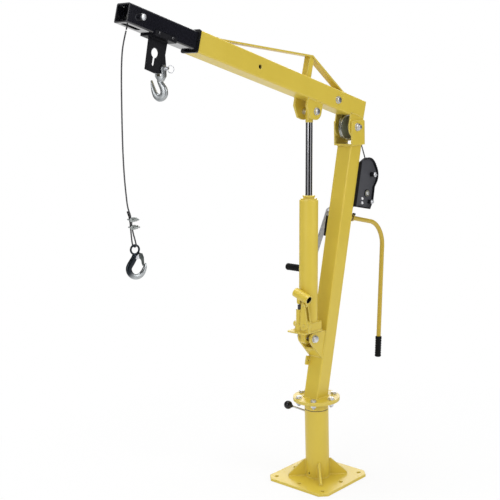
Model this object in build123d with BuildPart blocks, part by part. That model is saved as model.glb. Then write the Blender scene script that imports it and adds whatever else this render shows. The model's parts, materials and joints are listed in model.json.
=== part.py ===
"""Truck jib crane: pedestal, leaning mast, boom with jack, sliding extension, winch, cable and hooks."""
import os
from math import acos, asin, atan2, cos, degrees, pi, radians, sin, sqrt, tan

from build123d import *

os.makedirs("parts", exist_ok=True)

# Driving dimensions in millimetres and degrees. X runs along the boom, Z is up, Y = 0 is the middle plane.
plate_size = 280
plate_thickness = 10
plate_chop = 26
bolt_spacing = 220
bolt_hole = 8
pedestal_radius = 44.5
pedestal_wall = 5.5
pedestal_top = 273
drain_hole = 4
gusset_sheet = 8
gusset_reach = 111
gusset_height = 64
gusset_nose = 7
spindle_radius = 35
spindle_wall = 7
spindle_bottom = 112
bush_height = 25
thrust_ring = 2.5
index_hole = 6
index_height = 259.6
lock_rod = 3.5
lock_tip = 7.5
lock_knob_at = 66
knob_radius = 16
flange_radius = 87
flange_sheet = 6
flange_top = 321
flange_bolt_circle = 69.5
flange_bolt = 6
mast_lean = 13.76
mast_width = 65
mast_wall = 5
mast_top = 1240
yoke_rear = -261
yoke_length = 78
yoke_top = 1331
yoke_inner = 36
yoke_wall = 6
lug_inner = 22
lug_outer = 30
handle_bar = 8.75
handle_bend = 105
boom_rise = 16.6
boom_width = 70
boom_wall = 5
boom_axis = 71.3
boom_rear = -38
boom_front = 849
inner_width = 58
inner_wall = 4
inner_rear = 330
inner_front = 1136.5
pin_hole = 7.5
pin_hole_u = 562.5
pin_step = 80
strap_width = 30
strap_sheet = 6
strap_peak = (284, 184)
pivot_radius = 8
running = 0.05
cable_radius = 2.4
rope_corner = 1.0538 * cable_radius
pulley_radius = 50
pulley_line = 45.7
tip_radius = 24
tip_line = 21.5
tip_axle_u = 1089
tip_bolt = 5
roller_at = (130, 69)
roller_line = 10.7
roller_bolt = 6
ram_pin_radius = 7
ram_radius = 12.5
jack_lean = 2.083
jack_length = 821.4
reservoir_radius = 34
block_top = 62
reservoir_top = 508
ram_bottom = 235
ram_shoulder = 783
winch_inner = 34.5
winch_sheet = 3.5
winch_bolt = 4
winch_axle = 7
crank_shaft = 9
gear_module = 2.5
gear_teeth = 45
pinion_teeth = 15
drum_core = 27.6
winding_pitch = 5.5
winding_turns = 5

# Each leaning member has a side plane: x along or across the member, y upwards, z to the far side.
mast_foot = (2.5, 0, flange_top)
boom_pivot = (-215, 0, 1307)
jack_foot = (41.7, 0, 554.8)


def side_plane(origin, slope):
    """Upright plane along the crane whose x axis rises at the slope."""
    return Plane(origin=origin, x_dir=(cos(radians(slope)), 0, sin(radians(slope))), z_dir=(0, -1, 0))


def across(side, distance, axis):
    """Plane square to a member; its x axis is the crane's Y, its normal is the side plane's x or y."""
    normal = side.x_dir if axis == "x" else side.y_dir
    return Plane(origin=side.origin + normal * distance, x_dir=(0, 1, 0), z_dir=normal)


def pair(side, outer, inner):
    """Two planes for matching plates either side of the middle, each to be extruded by outer - inner."""
    return side.offset(-outer), side.offset(inner)


mast_side = side_plane(mast_foot, mast_lean)
boom_side = side_plane(boom_pivot, boom_rise)
jack_side = side_plane(jack_foot, jack_lean)


def hex_bolt(seat, radius, flats, head, grip, nut, tail):
    """Bolt with its head on the seat plane, shank down through the grip, nut and free end below."""
    with BuildPart() as bolt:
        with BuildSketch(seat):
            RegularPolygon(flats / 2, 6, major_radius=False)
        extrude(amount=head)
        with BuildSketch(seat):
            Circle(radius)
        extrude(amount=-(grip + nut + tail))
        with BuildSketch(seat.offset(-grip)):
            RegularPolygon(flats / 2, 6, major_radius=False)
        extrude(amount=-nut)
    return bolt.part


def cord(label, points, radii=None):
    """Cable of straight runs joined by tangent arcs."""
    spots = [Vector(*p) for p in points]
    bends = []
    for before, here, after in zip(spots, spots[1:], spots[2:]):
        turn = (here - before).get_angle(after - here)
        shorter = min((here - before).length, (after - here).length)
        bends.append(0.45 * shorter / tan(radians(turn) / 2))
    if radii:
        bends = [given if given else free for given, free in zip(radii, bends)]
    with BuildPart() as tube:
        with BuildLine() as route:
            FilletPolyline(*spots, radius=bends)
        line = route.wire()
        with BuildSketch(Plane(origin=line @ 0, z_dir=line % 0)) as section:
            RegularPolygon(rope_corner, 8)
        sweep()
    expected = section.sketch.area * line.length
    print(label, "radii", [round(b) for b in bends], "volume ratio", round(tube.part.volume / expected, 4))
    return tube.part


# Base plate with clipped corners and eight bolt holes
with BuildPart() as base_plate:
    with BuildSketch():
        Rectangle(plate_size, plate_size)
        chamfer(vertices(), plate_chop)
        with GridLocations(bolt_spacing, bolt_spacing, 2, 2):
            Circle(bolt_hole, mode=Mode.SUBTRACT)
        with PolarLocations(bolt_spacing / 2, 4):
            Circle(bolt_hole, mode=Mode.SUBTRACT)
    extrude(amount=plate_thickness)
    chamfer(base_plate.faces().sort_by(Axis.Z)[-1].outer_wire().edges(), 1.2)

# Lock pin line: it slopes up outwards, so it drops into the spindle's holes by its own weight
lock_bearing = radians(-50.3)
lock_slope = radians(20.5)
lock_out = 44
lock_height = 264
lock_way = Vector(cos(lock_bearing) * cos(lock_slope), sin(lock_bearing) * cos(lock_slope), sin(lock_slope))
lock_point = Vector(lock_out * cos(lock_bearing), lock_out * sin(lock_bearing), lock_height)
lock_plane = Plane(origin=lock_point, z_dir=lock_way)

# Pedestal tube with a drain hole at the foot and the lock pin's hole near the top
with BuildPart() as pedestal_tube:
    with BuildSketch(Plane.XY.offset(plate_thickness)):
        Circle(pedestal_radius)
        Circle(pedestal_radius - pedestal_wall, mode=Mode.SUBTRACT)
    extrude(amount=pedestal_top - plate_thickness)
    with BuildSketch(Plane.YZ.offset(30)):
        with Locations((-5, 27)):
            Circle(drain_hole)
    extrude(amount=20, mode=Mode.SUBTRACT)
    with BuildSketch(lock_plane.offset(-9)):
        Circle(lock_rod + running)
    extrude(amount=16, mode=Mode.SUBTRACT)

# Four gussets on the diagonals
with BuildPart() as base_gussets:
    for bearing in (45, 135, 225, 315):
        out = (cos(radians(bearing)), sin(radians(bearing)), 0)
        with BuildSketch(Plane(origin=(0, 0, plate_thickness), x_dir=out, z_dir=(out[1], -out[0], 0))):
            with BuildLine():
                Polyline((pedestal_radius, 0), (gusset_reach, 0), (gusset_reach, gusset_nose),
                         (pedestal_radius + gusset_nose, gusset_height), (pedestal_radius, gusset_height),
                         close=True)
            make_face()
        extrude(amount=gusset_sheet / 2, both=True)

# Two bushes that the spindle turns in, and the dark thrust ring on the pedestal's top
bush_radius = pedestal_radius - pedestal_wall
low_bush = 122
high_bush = 225
thrust_radius = 43.6
with BuildPart() as swivel_bushes:
    for bottom, height, outer in ((low_bush, bush_height, bush_radius), (high_bush, bush_height, bush_radius),
                                  (pedestal_top, thrust_ring, thrust_radius)):
        with BuildSketch(Plane.XY.offset(bottom)):
            Circle(outer)
            Circle(spindle_radius + running, mode=Mode.SUBTRACT)
        extrude(amount=height)

# Lock pin rod; its tip stands clear of the spindle
with BuildPart() as lock_pin:
    with BuildSketch(lock_plane.offset(-lock_tip)):
        Circle(lock_rod)
    extrude(amount=lock_tip + lock_knob_at)
    chamfer(lock_pin.edges().filter_by(GeomType.CIRCLE).sort_by(Axis.Z)[0], 0.8)

# Ball knob on the rod
with BuildPart() as lock_pin_knob:
    with Locations(lock_plane.offset(lock_knob_at)):
        Sphere(knob_radius)
    with BuildSketch(lock_plane):
        Circle(lock_rod)
    extrude(amount=lock_knob_at, mode=Mode.SUBTRACT)

# Spindle tube with eight index holes
with BuildPart() as swivel_spindle:
    with BuildSketch(Plane.XY.offset(spindle_bottom)):
        Circle(spindle_radius)
        Circle(spindle_radius - spindle_wall, mode=Mode.SUBTRACT)
    extrude(amount=flange_top - flange_sheet - spindle_bottom)
    for step in range(8):
        turn = lock_bearing + step * pi / 4
        with BuildSketch(Plane(origin=(0, 0, index_height), z_dir=(cos(turn), sin(turn), 0))):
            Circle(index_hole)
        extrude(amount=spindle_radius + 5, mode=Mode.SUBTRACT)

# Collar with the lower flange disc
collar_bottom = pedestal_top + thrust_ring + 0.3
disc_bottom = flange_top - 2 * flange_sheet
with BuildPart() as swivel_collar:
    with BuildSketch(Plane.XY.offset(collar_bottom)):
        Circle(pedestal_radius)
    extrude(amount=disc_bottom - collar_bottom)
    with BuildSketch(Plane.XY.offset(disc_bottom)):
        Circle(flange_radius)
        with PolarLocations(flange_bolt_circle, 6, start_angle=30):
            Circle(flange_bolt, mode=Mode.SUBTRACT)
    extrude(amount=flange_sheet)
    with BuildSketch(Plane.XY.offset(pedestal_top)):
        Circle(spindle_radius)
    extrude(amount=flange_top - pedestal_top, mode=Mode.SUBTRACT)

# Mast flange on top of the collar
with BuildPart() as mast_flange:
    with BuildSketch(Plane.XY.offset(flange_top - flange_sheet)):
        Circle(flange_radius)
        with PolarLocations(flange_bolt_circle, 6, start_angle=30):
            Circle(flange_bolt, mode=Mode.SUBTRACT)
    extrude(amount=flange_sheet)
    chamfer(mast_flange.faces().sort_by(Axis.Z)[-1].outer_wire().edges(), 0.8)

# Six M12 bolts with nuts
with BuildPart() as flange_bolts:
    for step in range(6):
        turn = radians(30 + 60 * step)
        spot = (flange_bolt_circle * cos(turn), flange_bolt_circle * sin(turn), flange_top)
        add(hex_bolt(Plane(origin=spot), flange_bolt, 19, 7.5, 2 * flange_sheet, 10, 7))

# Winch positions in the mast's side plane
drum_at = (-107, 852.5)
mesh_turn = radians(9.6)
centre_gap = gear_module * (gear_teeth + pinion_teeth) / 2
pinion_at = (drum_at[0] + centre_gap * sin(mesh_turn), drum_at[1] - centre_gap * cos(mesh_turn))
tie_at = (-115, 749)
handle_s = 680
winch_bolts = ((-18, 740), (18, 740), (-18, 876), (18, 876))

# Leaning mast tube, cut level at both ends, with the winch's bolt holes
with BuildPart() as mast_tube:
    with BuildSketch(across(mast_side, -30, "y")):
        RectangleRounded(mast_width, mast_width, 5)
        RectangleRounded(mast_width - 2 * mast_wall, mast_width - 2 * mast_wall, 2, mode=Mode.SUBTRACT)
    extrude(amount=mast_top - flange_top + 111)
    split(bisect_by=Plane.XY.offset(flange_top), keep=Keep.TOP)
    split(bisect_by=Plane.XY.offset(mast_top), keep=Keep.BOTTOM)
    with BuildSketch(across(mast_side, -mast_width / 2 - 1, "x")):
        with Locations(*[(y, s) for y, s in winch_bolts]):
            Circle(winch_bolt)
    extrude(amount=2 * mast_wall, mode=Mode.SUBTRACT)

# Yoke on the mast's top that carries the boom
yoke_height = yoke_top - mast_top
with BuildPart() as mast_head:
    with BuildSketch(Plane.YZ.offset(yoke_rear)):
        with Locations((0, mast_top + yoke_height / 2)):
            Rectangle(2 * (yoke_inner + yoke_wall), yoke_height)
        with Locations((0, mast_top + yoke_wall + yoke_height)):
            Rectangle(2 * yoke_inner, 2 * yoke_height, mode=Mode.SUBTRACT)
    extrude(amount=yoke_length)
    fillet(mast_head.edges().filter_by(Axis.Y).group_by(Axis.Z)[-1], 7)
    with BuildSketch(side_plane(boom_pivot, 0).offset(-60)):
        Circle(pivot_radius)
    extrude(amount=120, mode=Mode.SUBTRACT)

# Boom pivot bolt and lower jack bolt
pivot_out = yoke_inner + yoke_wall
with BuildPart() as mast_pivot_bolts:
    far_seat = Plane(origin=(boom_pivot[0], -pivot_out, boom_pivot[2]), z_dir=(0, -1, 0))
    add(hex_bolt(far_seat, pivot_radius, 24, 10, 2 * pivot_out, 9, 8))
    near_seat = Plane(origin=(jack_foot[0], lug_outer, jack_foot[2]), z_dir=(0, 1, 0))
    add(hex_bolt(near_seat, pivot_radius, 24, 10, 2 * lug_outer, 9, 8))

# Jack bracket: two lugs, a back plate on the mast's front face and a sloping bottom plate
jack_pin_at = mast_side.to_local_coords(Vector(*jack_foot))
lug_nose = 23
back_plate = 6
back_top = 250
back_bottom = 149
back_height = back_top - back_bottom
back_middle = (back_top + back_bottom) / 2
floor_reach = 70
floor_end = 175
floor_plate = 7
with BuildPart() as jack_bracket:
    with BuildSketch(*pair(mast_side, lug_outer, lug_inner)):
        with Locations((jack_pin_at.X, jack_pin_at.Y)):
            Circle(lug_nose)
        with Locations((mast_width / 2 + 2, back_middle)):
            Rectangle(4, back_height)
        make_hull()
        with Locations((jack_pin_at.X, jack_pin_at.Y)):
            Circle(pivot_radius, mode=Mode.SUBTRACT)
    extrude(amount=lug_outer - lug_inner)
    with BuildSketch(mast_side):
        with Locations((mast_width / 2 + back_plate / 2, back_middle)):
            Rectangle(back_plate, back_height)
        Polygon(
            (mast_width / 2, back_bottom),
            (mast_width / 2 + 4, back_bottom),
            (floor_reach, floor_end),
            (floor_reach, floor_end + floor_plate),
            (mast_width / 2, back_bottom + floor_plate),
            align=None,
        )
    extrude(amount=lug_inner, both=True)

# Small tab low on the mast's front edge
tab_reach = 22
tab_height = 34
tab_middle = 130
with BuildPart() as mast_tab:
    with BuildSketch(mast_side.offset(24)):
        with Locations((mast_width / 2 + tab_reach / 2, tab_middle)):
            RectangleRounded(tab_reach, tab_height, 4)
        with Locations((mast_width / 2 + 4, tab_middle)):
            Rectangle(8, tab_height)
        with Locations((mast_width / 2 + 9.5, tab_middle)):
            Circle(4, mode=Mode.SUBTRACT)
    extrude(amount=6)

# Winch frame: a channel whose cheeks have turned-out rims
rim_width = 11
with BuildPart() as winch_frame:
    with BuildSketch(*pair(mast_side, winch_inner + winch_sheet, winch_inner)) as cheek:
        with BuildLine():
            Polyline((-142, 828), (-132, 808), (-134, 758), (-122, 722), (-32.5, 720), (-32.5, 888))
            ThreePointArc((-32.5, 888), (-80, 912), (-124, 888))
            ThreePointArc((-124, 888), (-144, 860), (-142, 828))
        make_face()
        with Locations(drum_at, tie_at):
            Circle(winch_axle, mode=Mode.SUBTRACT)
        with Locations(pinion_at):
            Circle(crank_shaft + running, mode=Mode.SUBTRACT)
        with Locations((-72.5, 755.5), (-75, 739)):
            Circle(5, mode=Mode.SUBTRACT)
    extrude(amount=winch_sheet)
    with BuildSketch(mast_side):
        with Locations((-mast_width / 2 - winch_sheet / 2, 804)):
            Rectangle(winch_sheet, 168)
    extrude(amount=winch_inner, both=True)
    with BuildSketch(mast_side.offset(-winch_inner - rim_width), mast_side.offset(winch_inner)):
        with BuildLine():
            Polyline((-142, 828), (-132, 808), (-134, 758), (-122, 722), (-50, 720.3), (-50, 723.8),
                     (-119, 725.4), (-130.4, 758.4), (-128.4, 808.6), (-138.6, 829))
            ThreePointArc((-138.6, 829), (-140.5, 860), (-121.5, 885.5))
            ThreePointArc((-121.5, 885.5), (-80, 908.4), (-50, 898.6))
            Line((-50, 898.6), (-50, 902.2))
            ThreePointArc((-50, 902.2), (-80, 912), (-124, 888))
            ThreePointArc((-124, 888), (-144, 860), (-142, 828))
        make_face()
    extrude(amount=rim_width)
    with BuildSketch(across(mast_side, -mast_width / 2 - 4, "x")):
        with Locations(*[(y, s) for y, s in winch_bolts]):
            Circle(winch_bolt)
    extrude(amount=6, mode=Mode.SUBTRACT)

# Drum axle, lower tie bolt with their spacers, and the pinion's end bush
cheek_out = winch_inner + winch_sheet
with BuildPart() as winch_axles:
    for spot, spacer, thick in ((drum_at, 17, 9), (tie_at, 14, 8)):
        with BuildSketch(mast_side.offset(-cheek_out - spacer - 7)):
            with Locations(spot):
                Circle(winch_axle)
        extrude(amount=2 * cheek_out + spacer + 16)
        with BuildSketch(mast_side.offset(-cheek_out - spacer)):
            with Locations(spot):
                Circle(thick)
        extrude(amount=spacer)
        with BuildSketch(mast_side.offset(cheek_out)):
            with Locations(spot):
                RegularPolygon(8.5, 6, major_radius=False)
        extrude(amount=7)
    with BuildSketch(mast_side.offset(-cheek_out - 5)):
        with Locations(pinion_at):
            Circle(14.5)
    extrude(amount=5)
    with BuildSketch(mast_side.offset(-cheek_out - 3.5)):
        with Locations(pinion_at):
            Circle(crank_shaft + running)
    extrude(amount=10, mode=Mode.SUBTRACT)

# Four M8 bolts hold the winch to the mast
with BuildPart() as winch_mount_bolts:
    back = across(mast_side, -mast_width / 2 - winch_sheet, "x")
    for y, s in winch_bolts:
        seat = Plane(origin=back.from_local_coords(Vector(y, s, 0)), z_dir=-back.z_dir)
        add(hex_bolt(seat, winch_bolt, 13, 5.3, winch_sheet + mast_wall, 6, 4))

# Turning handle: a bent bar in a black socket on the mast's rear face, with a rubber grip
handle_start = mast_side.from_local_coords(Vector(-mast_width / 2 - 1, handle_s, 0))
handle_corner = mast_side.from_local_coords(Vector(-mast_width / 2 - 251, handle_s, 0))
handle_end = Vector(-395, 0, 383)
with BuildPart() as turning_handle:
    with BuildLine() as bar_route:
        FilletPolyline(handle_start, handle_corner, handle_end, radius=handle_bend)
    bar_line = bar_route.wire()
    with BuildSketch(Plane(origin=bar_line @ 0, z_dir=bar_line % 0)):
        Circle(handle_bar)
    sweep()
socket_foot = mast_side.from_local_coords(Vector(-mast_width / 2, handle_s, 0))
socket_seat = Plane(origin=socket_foot, z_dir=-mast_side.x_dir)
with BuildPart() as handle_socket:
    with BuildSketch(socket_seat):
        Circle(13)
    extrude(amount=62.5)
    with BuildSketch(socket_seat.offset(1)):
        Circle(handle_bar)
    extrude(amount=70, mode=Mode.SUBTRACT)
grip_seat = Plane(origin=handle_end, z_dir=-(bar_line % 1))
grip_length = 84
grip_end = 3
with BuildPart() as handle_grip:
    with BuildSketch(grip_seat.offset(-grip_end)):
        Circle(12.5)
    extrude(amount=grip_length)
    chamfer(handle_grip.edges().filter_by(GeomType.CIRCLE), 2)
    with BuildSketch(grip_seat):
        Circle(handle_bar)
    extrude(amount=grip_length, mode=Mode.SUBTRACT)

# Rubber pad on the mast's far side
with BuildPart() as side_pad:
    with BuildSketch(mast_side.offset(mast_width / 2)):
        with Locations((18, 636)):
            RectangleRounded(19, 77, 4)
    extrude(amount=11)

# Cable from the drum up and over the head pulley, leaving it along the boom towards the guide roller
drum_world = mast_side.from_local_coords(Vector(drum_at[0], drum_at[1], 0))
drum_line = drum_core + cable_radius + 0.4
pulley_gap = Vector(drum_world.X - boom_pivot[0], drum_world.Z - boom_pivot[2])
rear_turn = atan2(pulley_gap.Y, pulley_gap.X) - acos((pulley_line - drum_line) / pulley_gap.length)


def upper_tangent(first, first_radius, second, second_radius):
    """Slope in radians of a cable that lies over two pulleys."""
    gap = Vector(second[0] - first[0], second[1] - first[1])
    return atan2(gap.Y, gap.X) - asin((first_radius - second_radius) / gap.length)


def on_pulley(turn):
    """Point of the cable on the head pulley."""
    return Vector(boom_pivot[0] + pulley_line * cos(turn), 0, boom_pivot[2] + pulley_line * sin(turn))


leave_slope = upper_tangent((0, 0), pulley_line, roller_at, roller_line)
leave_turn = leave_slope + radians(boom_rise + 90)
drum_off_y = 5.7
drum_off = Vector(drum_world.X + drum_line * cos(rear_turn), drum_off_y,
                  drum_world.Z + drum_line * sin(rear_turn))
pulley_on = on_pulley(rear_turn)
pulley_off = on_pulley(leave_turn)
with BuildPart() as mast_cable:
    with BuildLine() as mast_route:
        Line(drum_off, pulley_on)
        ThreePointArc(pulley_on, on_pulley((rear_turn + 2 * pi + leave_turn) / 2), pulley_off)
    mast_line = mast_route.wire()
    with BuildSketch(Plane(origin=mast_line @ 0, z_dir=mast_line % 0)) as rope_section:
        RegularPolygon(rope_corner, 8)
    sweep()
mast_cable_ratio = mast_cable.part.volume / (rope_section.sketch.area * mast_line.length)
print("mast cable volume ratio", round(mast_cable_ratio, 4))

# Head pulley with a round-bottomed groove and long hub
with BuildPart() as head_pulley:
    with BuildSketch(boom_side.offset(-29)):
        Circle(15)
    extrude(amount=58)
    with BuildSketch(boom_side.offset(-8)):
        Circle(pulley_radius)
    extrude(amount=16)
    with BuildSketch(Plane(origin=boom_pivot, x_dir=(0, 1, 0), z_dir=(1, 0, 0))):
        with BuildLine():
            groove = pulley_line - cable_radius - 0.3
            Polyline((-5.5, 51), (-2.7, 44.5), (-1.2, groove), (1.2, groove), (2.7, 44.5), (5.5, 51),
                     close=True)
        make_face()
    revolve(axis=Axis(boom_pivot, (0, 1, 0)), mode=Mode.SUBTRACT)
    with BuildSketch(boom_side.offset(-30)):
        Circle(pivot_radius + running)
    extrude(amount=60, mode=Mode.SUBTRACT)


def involute_gear(teeth, tip, root, slack, turn):
    """Corner points of a spur gear with involute flanks."""
    pitch_radius = gear_module * teeth / 2
    base_radius = pitch_radius * cos(radians(20))
    pitch_half = pi / (2 * teeth) - slack / (2 * pitch_radius) + tan(radians(20)) - radians(20)
    start = max(base_radius, root)
    half_tooth = []
    for step in range(4):
        radius = start + (tip - start) * step / 3
        lean = acos(base_radius / radius)
        half_tooth.append((radius, pitch_half - tan(lean) + lean))
    if root < start:
        half_tooth.insert(0, (root, half_tooth[0][1]))
    corners = []
    for tooth in range(teeth):
        middle = turn + 2 * pi * tooth / teeth
        corners += [(r * cos(middle - h), r * sin(middle - h)) for r, h in half_tooth]
        corners += [(r * cos(middle + h), r * sin(middle + h)) for r, h in reversed(half_tooth)]
    return corners


# Winch drum: plain core with one flange, on the fixed axle
with BuildPart() as winch_drum:
    with BuildSketch(mast_side.offset(-22)):
        with Locations(drum_at):
            Circle(drum_core)
    extrude(amount=55)
    with BuildSketch(mast_side.offset(30.5)):
        with Locations(drum_at):
            Circle(43)
    extrude(amount=2.5)
    with BuildSketch(mast_side.offset(-34)):
        with Locations(drum_at):
            Circle(winch_axle + running)
    extrude(amount=70, mode=Mode.SUBTRACT)

# Toothed gear that is the drum's near flange
mesh_way = atan2(pinion_at[1] - drum_at[1], pinion_at[0] - drum_at[0])
with BuildPart() as drum_gear:
    with BuildSketch(mast_side.offset(-30)):
        with Locations(drum_at):
            Polygon(*involute_gear(gear_teeth, 58.2, 53, 0.5, mesh_way), align=None)
            with PolarLocations(41, 6):
                Circle(6, mode=Mode.SUBTRACT)
    extrude(amount=8)
    with BuildSketch(mast_side.offset(-33.8)):
        with Locations(drum_at):
            Circle(16)
    extrude(amount=3.8)
    with BuildSketch(mast_side.offset(-34)):
        with Locations(drum_at):
            Circle(winch_axle + running)
    extrude(amount=20, mode=Mode.SUBTRACT)

# Outer layer of cable wound on the drum: a helix laid out as tangent arcs
wind_radius = drum_core + rope_corner + running
wind_start_y = -27.4


def on_drum(turns):
    """Point and direction of the wound cable after a number of turns."""
    angle = -2 * pi * turns
    drift = winding_pitch / (2 * pi)
    spot = Vector(drum_at[0] + wind_radius * cos(angle), drum_at[1] + wind_radius * sin(angle), 0)
    way = Vector(wind_radius * sin(angle), -wind_radius * cos(angle), -drift)
    spot.Z = -(wind_start_y + winding_pitch * turns)
    along = mast_side.from_local_coords(way) - mast_side.origin
    return mast_side.from_local_coords(spot), along.normalized()


def half_arc(start, corner, end):
    """Middle point of the circular arc that touches start-corner and corner-end."""
    chord_mid = (start + end) * 0.5
    half = (end - start).length / 2
    lean = acos(min(1, half / (corner - start).length))
    return chord_mid + (corner - chord_mid).normalized() * (half * tan(lean / 2))


with BuildPart() as drum_winding:
    with BuildLine() as wind_route:
        for quarter in range(4 * winding_turns):
            here, along = on_drum(quarter / 4)
            there, beyond = on_drum((quarter + 1) / 4)
            chord = there - here
            both = along + beyond
            square = 4 - both.dot(both)
            reach = (-chord.dot(both) + sqrt(chord.dot(both) ** 2 + square * chord.dot(chord))) / square
            first = here + along * reach
            second = there - beyond * reach
            joint = (first + second) * 0.5
            ThreePointArc(here, half_arc(here, first, joint), joint)
            ThreePointArc(joint, half_arc(joint, second, there), there)
    wind_line = wind_route.wire()
    with BuildSketch(Plane(origin=wind_line @ 0, z_dir=wind_line % 0)) as wind_section:
        RegularPolygon(rope_corner, 8)
    sweep()
winding_ratio = drum_winding.part.volume / (wind_section.sketch.area * wind_line.length)
turn_points = [wind_line @ (step / 800) for step in range(801)]
turn_gap = min((p - q).length for k, p in enumerate(turn_points) for q in turn_points[k + 80:])
turn_gap -= 2 * rope_corner
print("drum winding volume ratio", round(winding_ratio, 4), "least gap to itself", round(turn_gap, 2))

# Crank: pinion, shaft, joggled arm and the grip's pin
pinion_world = mast_side.from_local_coords(Vector(pinion_at[0], pinion_at[1], 0))
grip_world = Vector(-112, 0, 770)
arm_way = (grip_world - pinion_world).normalized()
arm_length = (grip_world - pinion_world).length
arm_side = Plane(origin=pinion_world, x_dir=arm_way, z_dir=arm_way.cross(Vector(0, 1, 0)))
grip_line = Plane(origin=grip_world, x_dir=arm_way, z_dir=(0, -1, 0))
with BuildPart() as winch_crank:
    with BuildSketch(mast_side.offset(-cheek_out - 3)):
        with Locations(pinion_at):
            Circle(crank_shaft)
    extrude(amount=cheek_out + 3 + 62)
    with BuildSketch(mast_side.offset(-32.5)):
        with Locations(pinion_at):
            half_step = pi / pinion_teeth
            Polygon(*involute_gear(pinion_teeth, 21.2, 15.9, 0.5, mesh_way + pi + half_step), align=None)
    extrude(amount=12)
    with BuildSketch(arm_side):
        with BuildLine():
            FilletPolyline((-16, -57), (28, -57), (82, -115), (arm_length + 14, -115), radius=14)
            offset(amount=6, side=Side.LEFT)
        make_face()
    extrude(amount=12.5, both=True)
    fillet(winch_crank.edges().filter_by(Axis.Y).filter_by(lambda e: abs(e.length - 6) < 0.3), 8)
    with BuildSketch(mast_side.offset(57)):
        with Locations(pinion_at):
            RegularPolygon(12, 6, major_radius=False)
    extrude(amount=5)
    with BuildSketch(grip_line.offset(112)):
        Circle(5)
    extrude(amount=110)

# Black grip that spins on the crank's pin
with BuildPart() as crank_grip:
    with BuildSketch(grip_line.offset(120)):
        Circle(13.5)
    extrude(amount=105)
    chamfer(crank_grip.edges().filter_by(GeomType.CIRCLE), 2.5)
    with BuildSketch(grip_line.offset(119)):
        Circle(5 + running)
    extrude(amount=103.5, mode=Mode.SUBTRACT)

# Pawl on the tie bolt, resting clear of the pinion
pawl_turn = degrees(atan2(pinion_at[1] - tie_at[1], pinion_at[0] - tie_at[0])) + 40
with BuildPart() as winch_pawl:
    with BuildSketch(mast_side.offset(-32)):
        with Locations(Location((tie_at[0], tie_at[1], 0), (0, 0, pawl_turn))):
            Polygon((-4, -11), (6, -9), (16, -4), (16, 2), (5, 10), (-4, 11), align=None)
        with Locations(tie_at):
            Circle(11.5)
            Circle(winch_axle + running, mode=Mode.SUBTRACT)
    extrude(amount=11)

# Boom tube with the rear underside open for the pulley
with BuildPart() as boom_tube:
    with BuildSketch(across(boom_side, boom_rear, "x")):
        with Locations((0, boom_axis)):
            RectangleRounded(boom_width, boom_width, 6)
            RectangleRounded(boom_width - 2 * boom_wall, boom_width - 2 * boom_wall, 2, mode=Mode.SUBTRACT)
    extrude(amount=boom_front - boom_rear)
    with BuildSketch(boom_side):
        with Locations((2, 34)):
            Rectangle(80, 20)
    extrude(amount=40, both=True, mode=Mode.SUBTRACT)
    with BuildSketch(boom_side):
        with Locations((pin_hole_u, boom_axis)):
            Circle(pin_hole)
        with Locations(roller_at):
            Circle(roller_bolt)
    extrude(amount=40, both=True, mode=Mode.SUBTRACT)

# Rear lugs that carry the boom on its pivot
with BuildPart() as boom_lugs:
    with BuildSketch(*pair(boom_side, 35, 30)):
        Circle(40)
        with Locations((2, 43)):
            Rectangle(80, 2)
        make_hull()
        Circle(pivot_radius + running, mode=Mode.SUBTRACT)
    extrude(amount=5)

# Truss strap over its post
boom_roof = boom_axis + boom_width / 2
strap_front = 742
strap_rear = 80
strap_foot = 18
strap_points = ((strap_front + strap_foot, boom_roof), (strap_front, boom_roof), strap_peak,
                (strap_rear, boom_roof), (strap_rear - strap_foot, boom_roof))
with BuildPart() as truss_strap:
    with BuildSketch(boom_side):
        with BuildLine():
            Polyline(*strap_points)
            offset(amount=strap_sheet, side=Side.RIGHT)
        make_face()
    extrude(amount=strap_width / 2, both=True)
post_half = 12
peak_u, peak_n = strap_peak
strap_drop = peak_n - boom_roof
post_left = peak_n - post_half * strap_drop / (peak_u - strap_rear)
post_right = peak_n - post_half * strap_drop / (strap_front - peak_u)
with BuildPart() as truss_post:
    with BuildSketch(boom_side):
        with BuildLine():
            Polyline((peak_u - post_half, boom_roof), (peak_u - post_half, post_left), strap_peak,
                     (peak_u + post_half, post_right), (peak_u + post_half, boom_roof), close=True)
        make_face()
    extrude(amount=post_half, both=True)

# Lugs under the boom for the ram
ram_at = (237, 1)
with BuildPart() as ram_lugs:
    with BuildSketch(*pair(boom_side, 32, 24)):
        with Locations(ram_at):
            Circle(30)
        with BuildLine():
            Polyline((207, 36.3), (292, 36.3), (292, 8), (262, -28), (207, 1), close=True)
        make_face()
        make_hull()
        with Locations(ram_at):
            Circle(ram_pin_radius, mode=Mode.SUBTRACT)
    extrude(amount=8)

# Ram pin with its spacers and the guide roller's bolt
with BuildPart() as boom_bolts:
    ram_seat = boom_side.from_local_coords(Vector(ram_at[0], ram_at[1], -32))
    add(hex_bolt(Plane(origin=ram_seat, z_dir=(0, 1, 0)), ram_pin_radius, 22, 9, 64, 8, 5))
    with BuildSketch(*pair(boom_side, 23.8, 14)):
        with Locations(ram_at):
            Circle(11)
    extrude(amount=9.8)
    roller_seat = boom_side.from_local_coords(Vector(*roller_at, -35))
    add(hex_bolt(Plane(origin=roller_seat, z_dir=(0, 1, 0)), roller_bolt, 19, 7.5, boom_width, 8, 4))

# Black collar round the boom's mouth
with BuildPart() as boom_collar:
    with BuildSketch(across(boom_side, boom_front, "x")):
        with Locations((0, boom_axis)):
            RectangleRounded(boom_width + 3, boom_width + 3, 7)
            RectangleRounded(inner_width + 1, inner_width + 1, 5.5, mode=Mode.SUBTRACT)
    extrude(amount=6)

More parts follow.
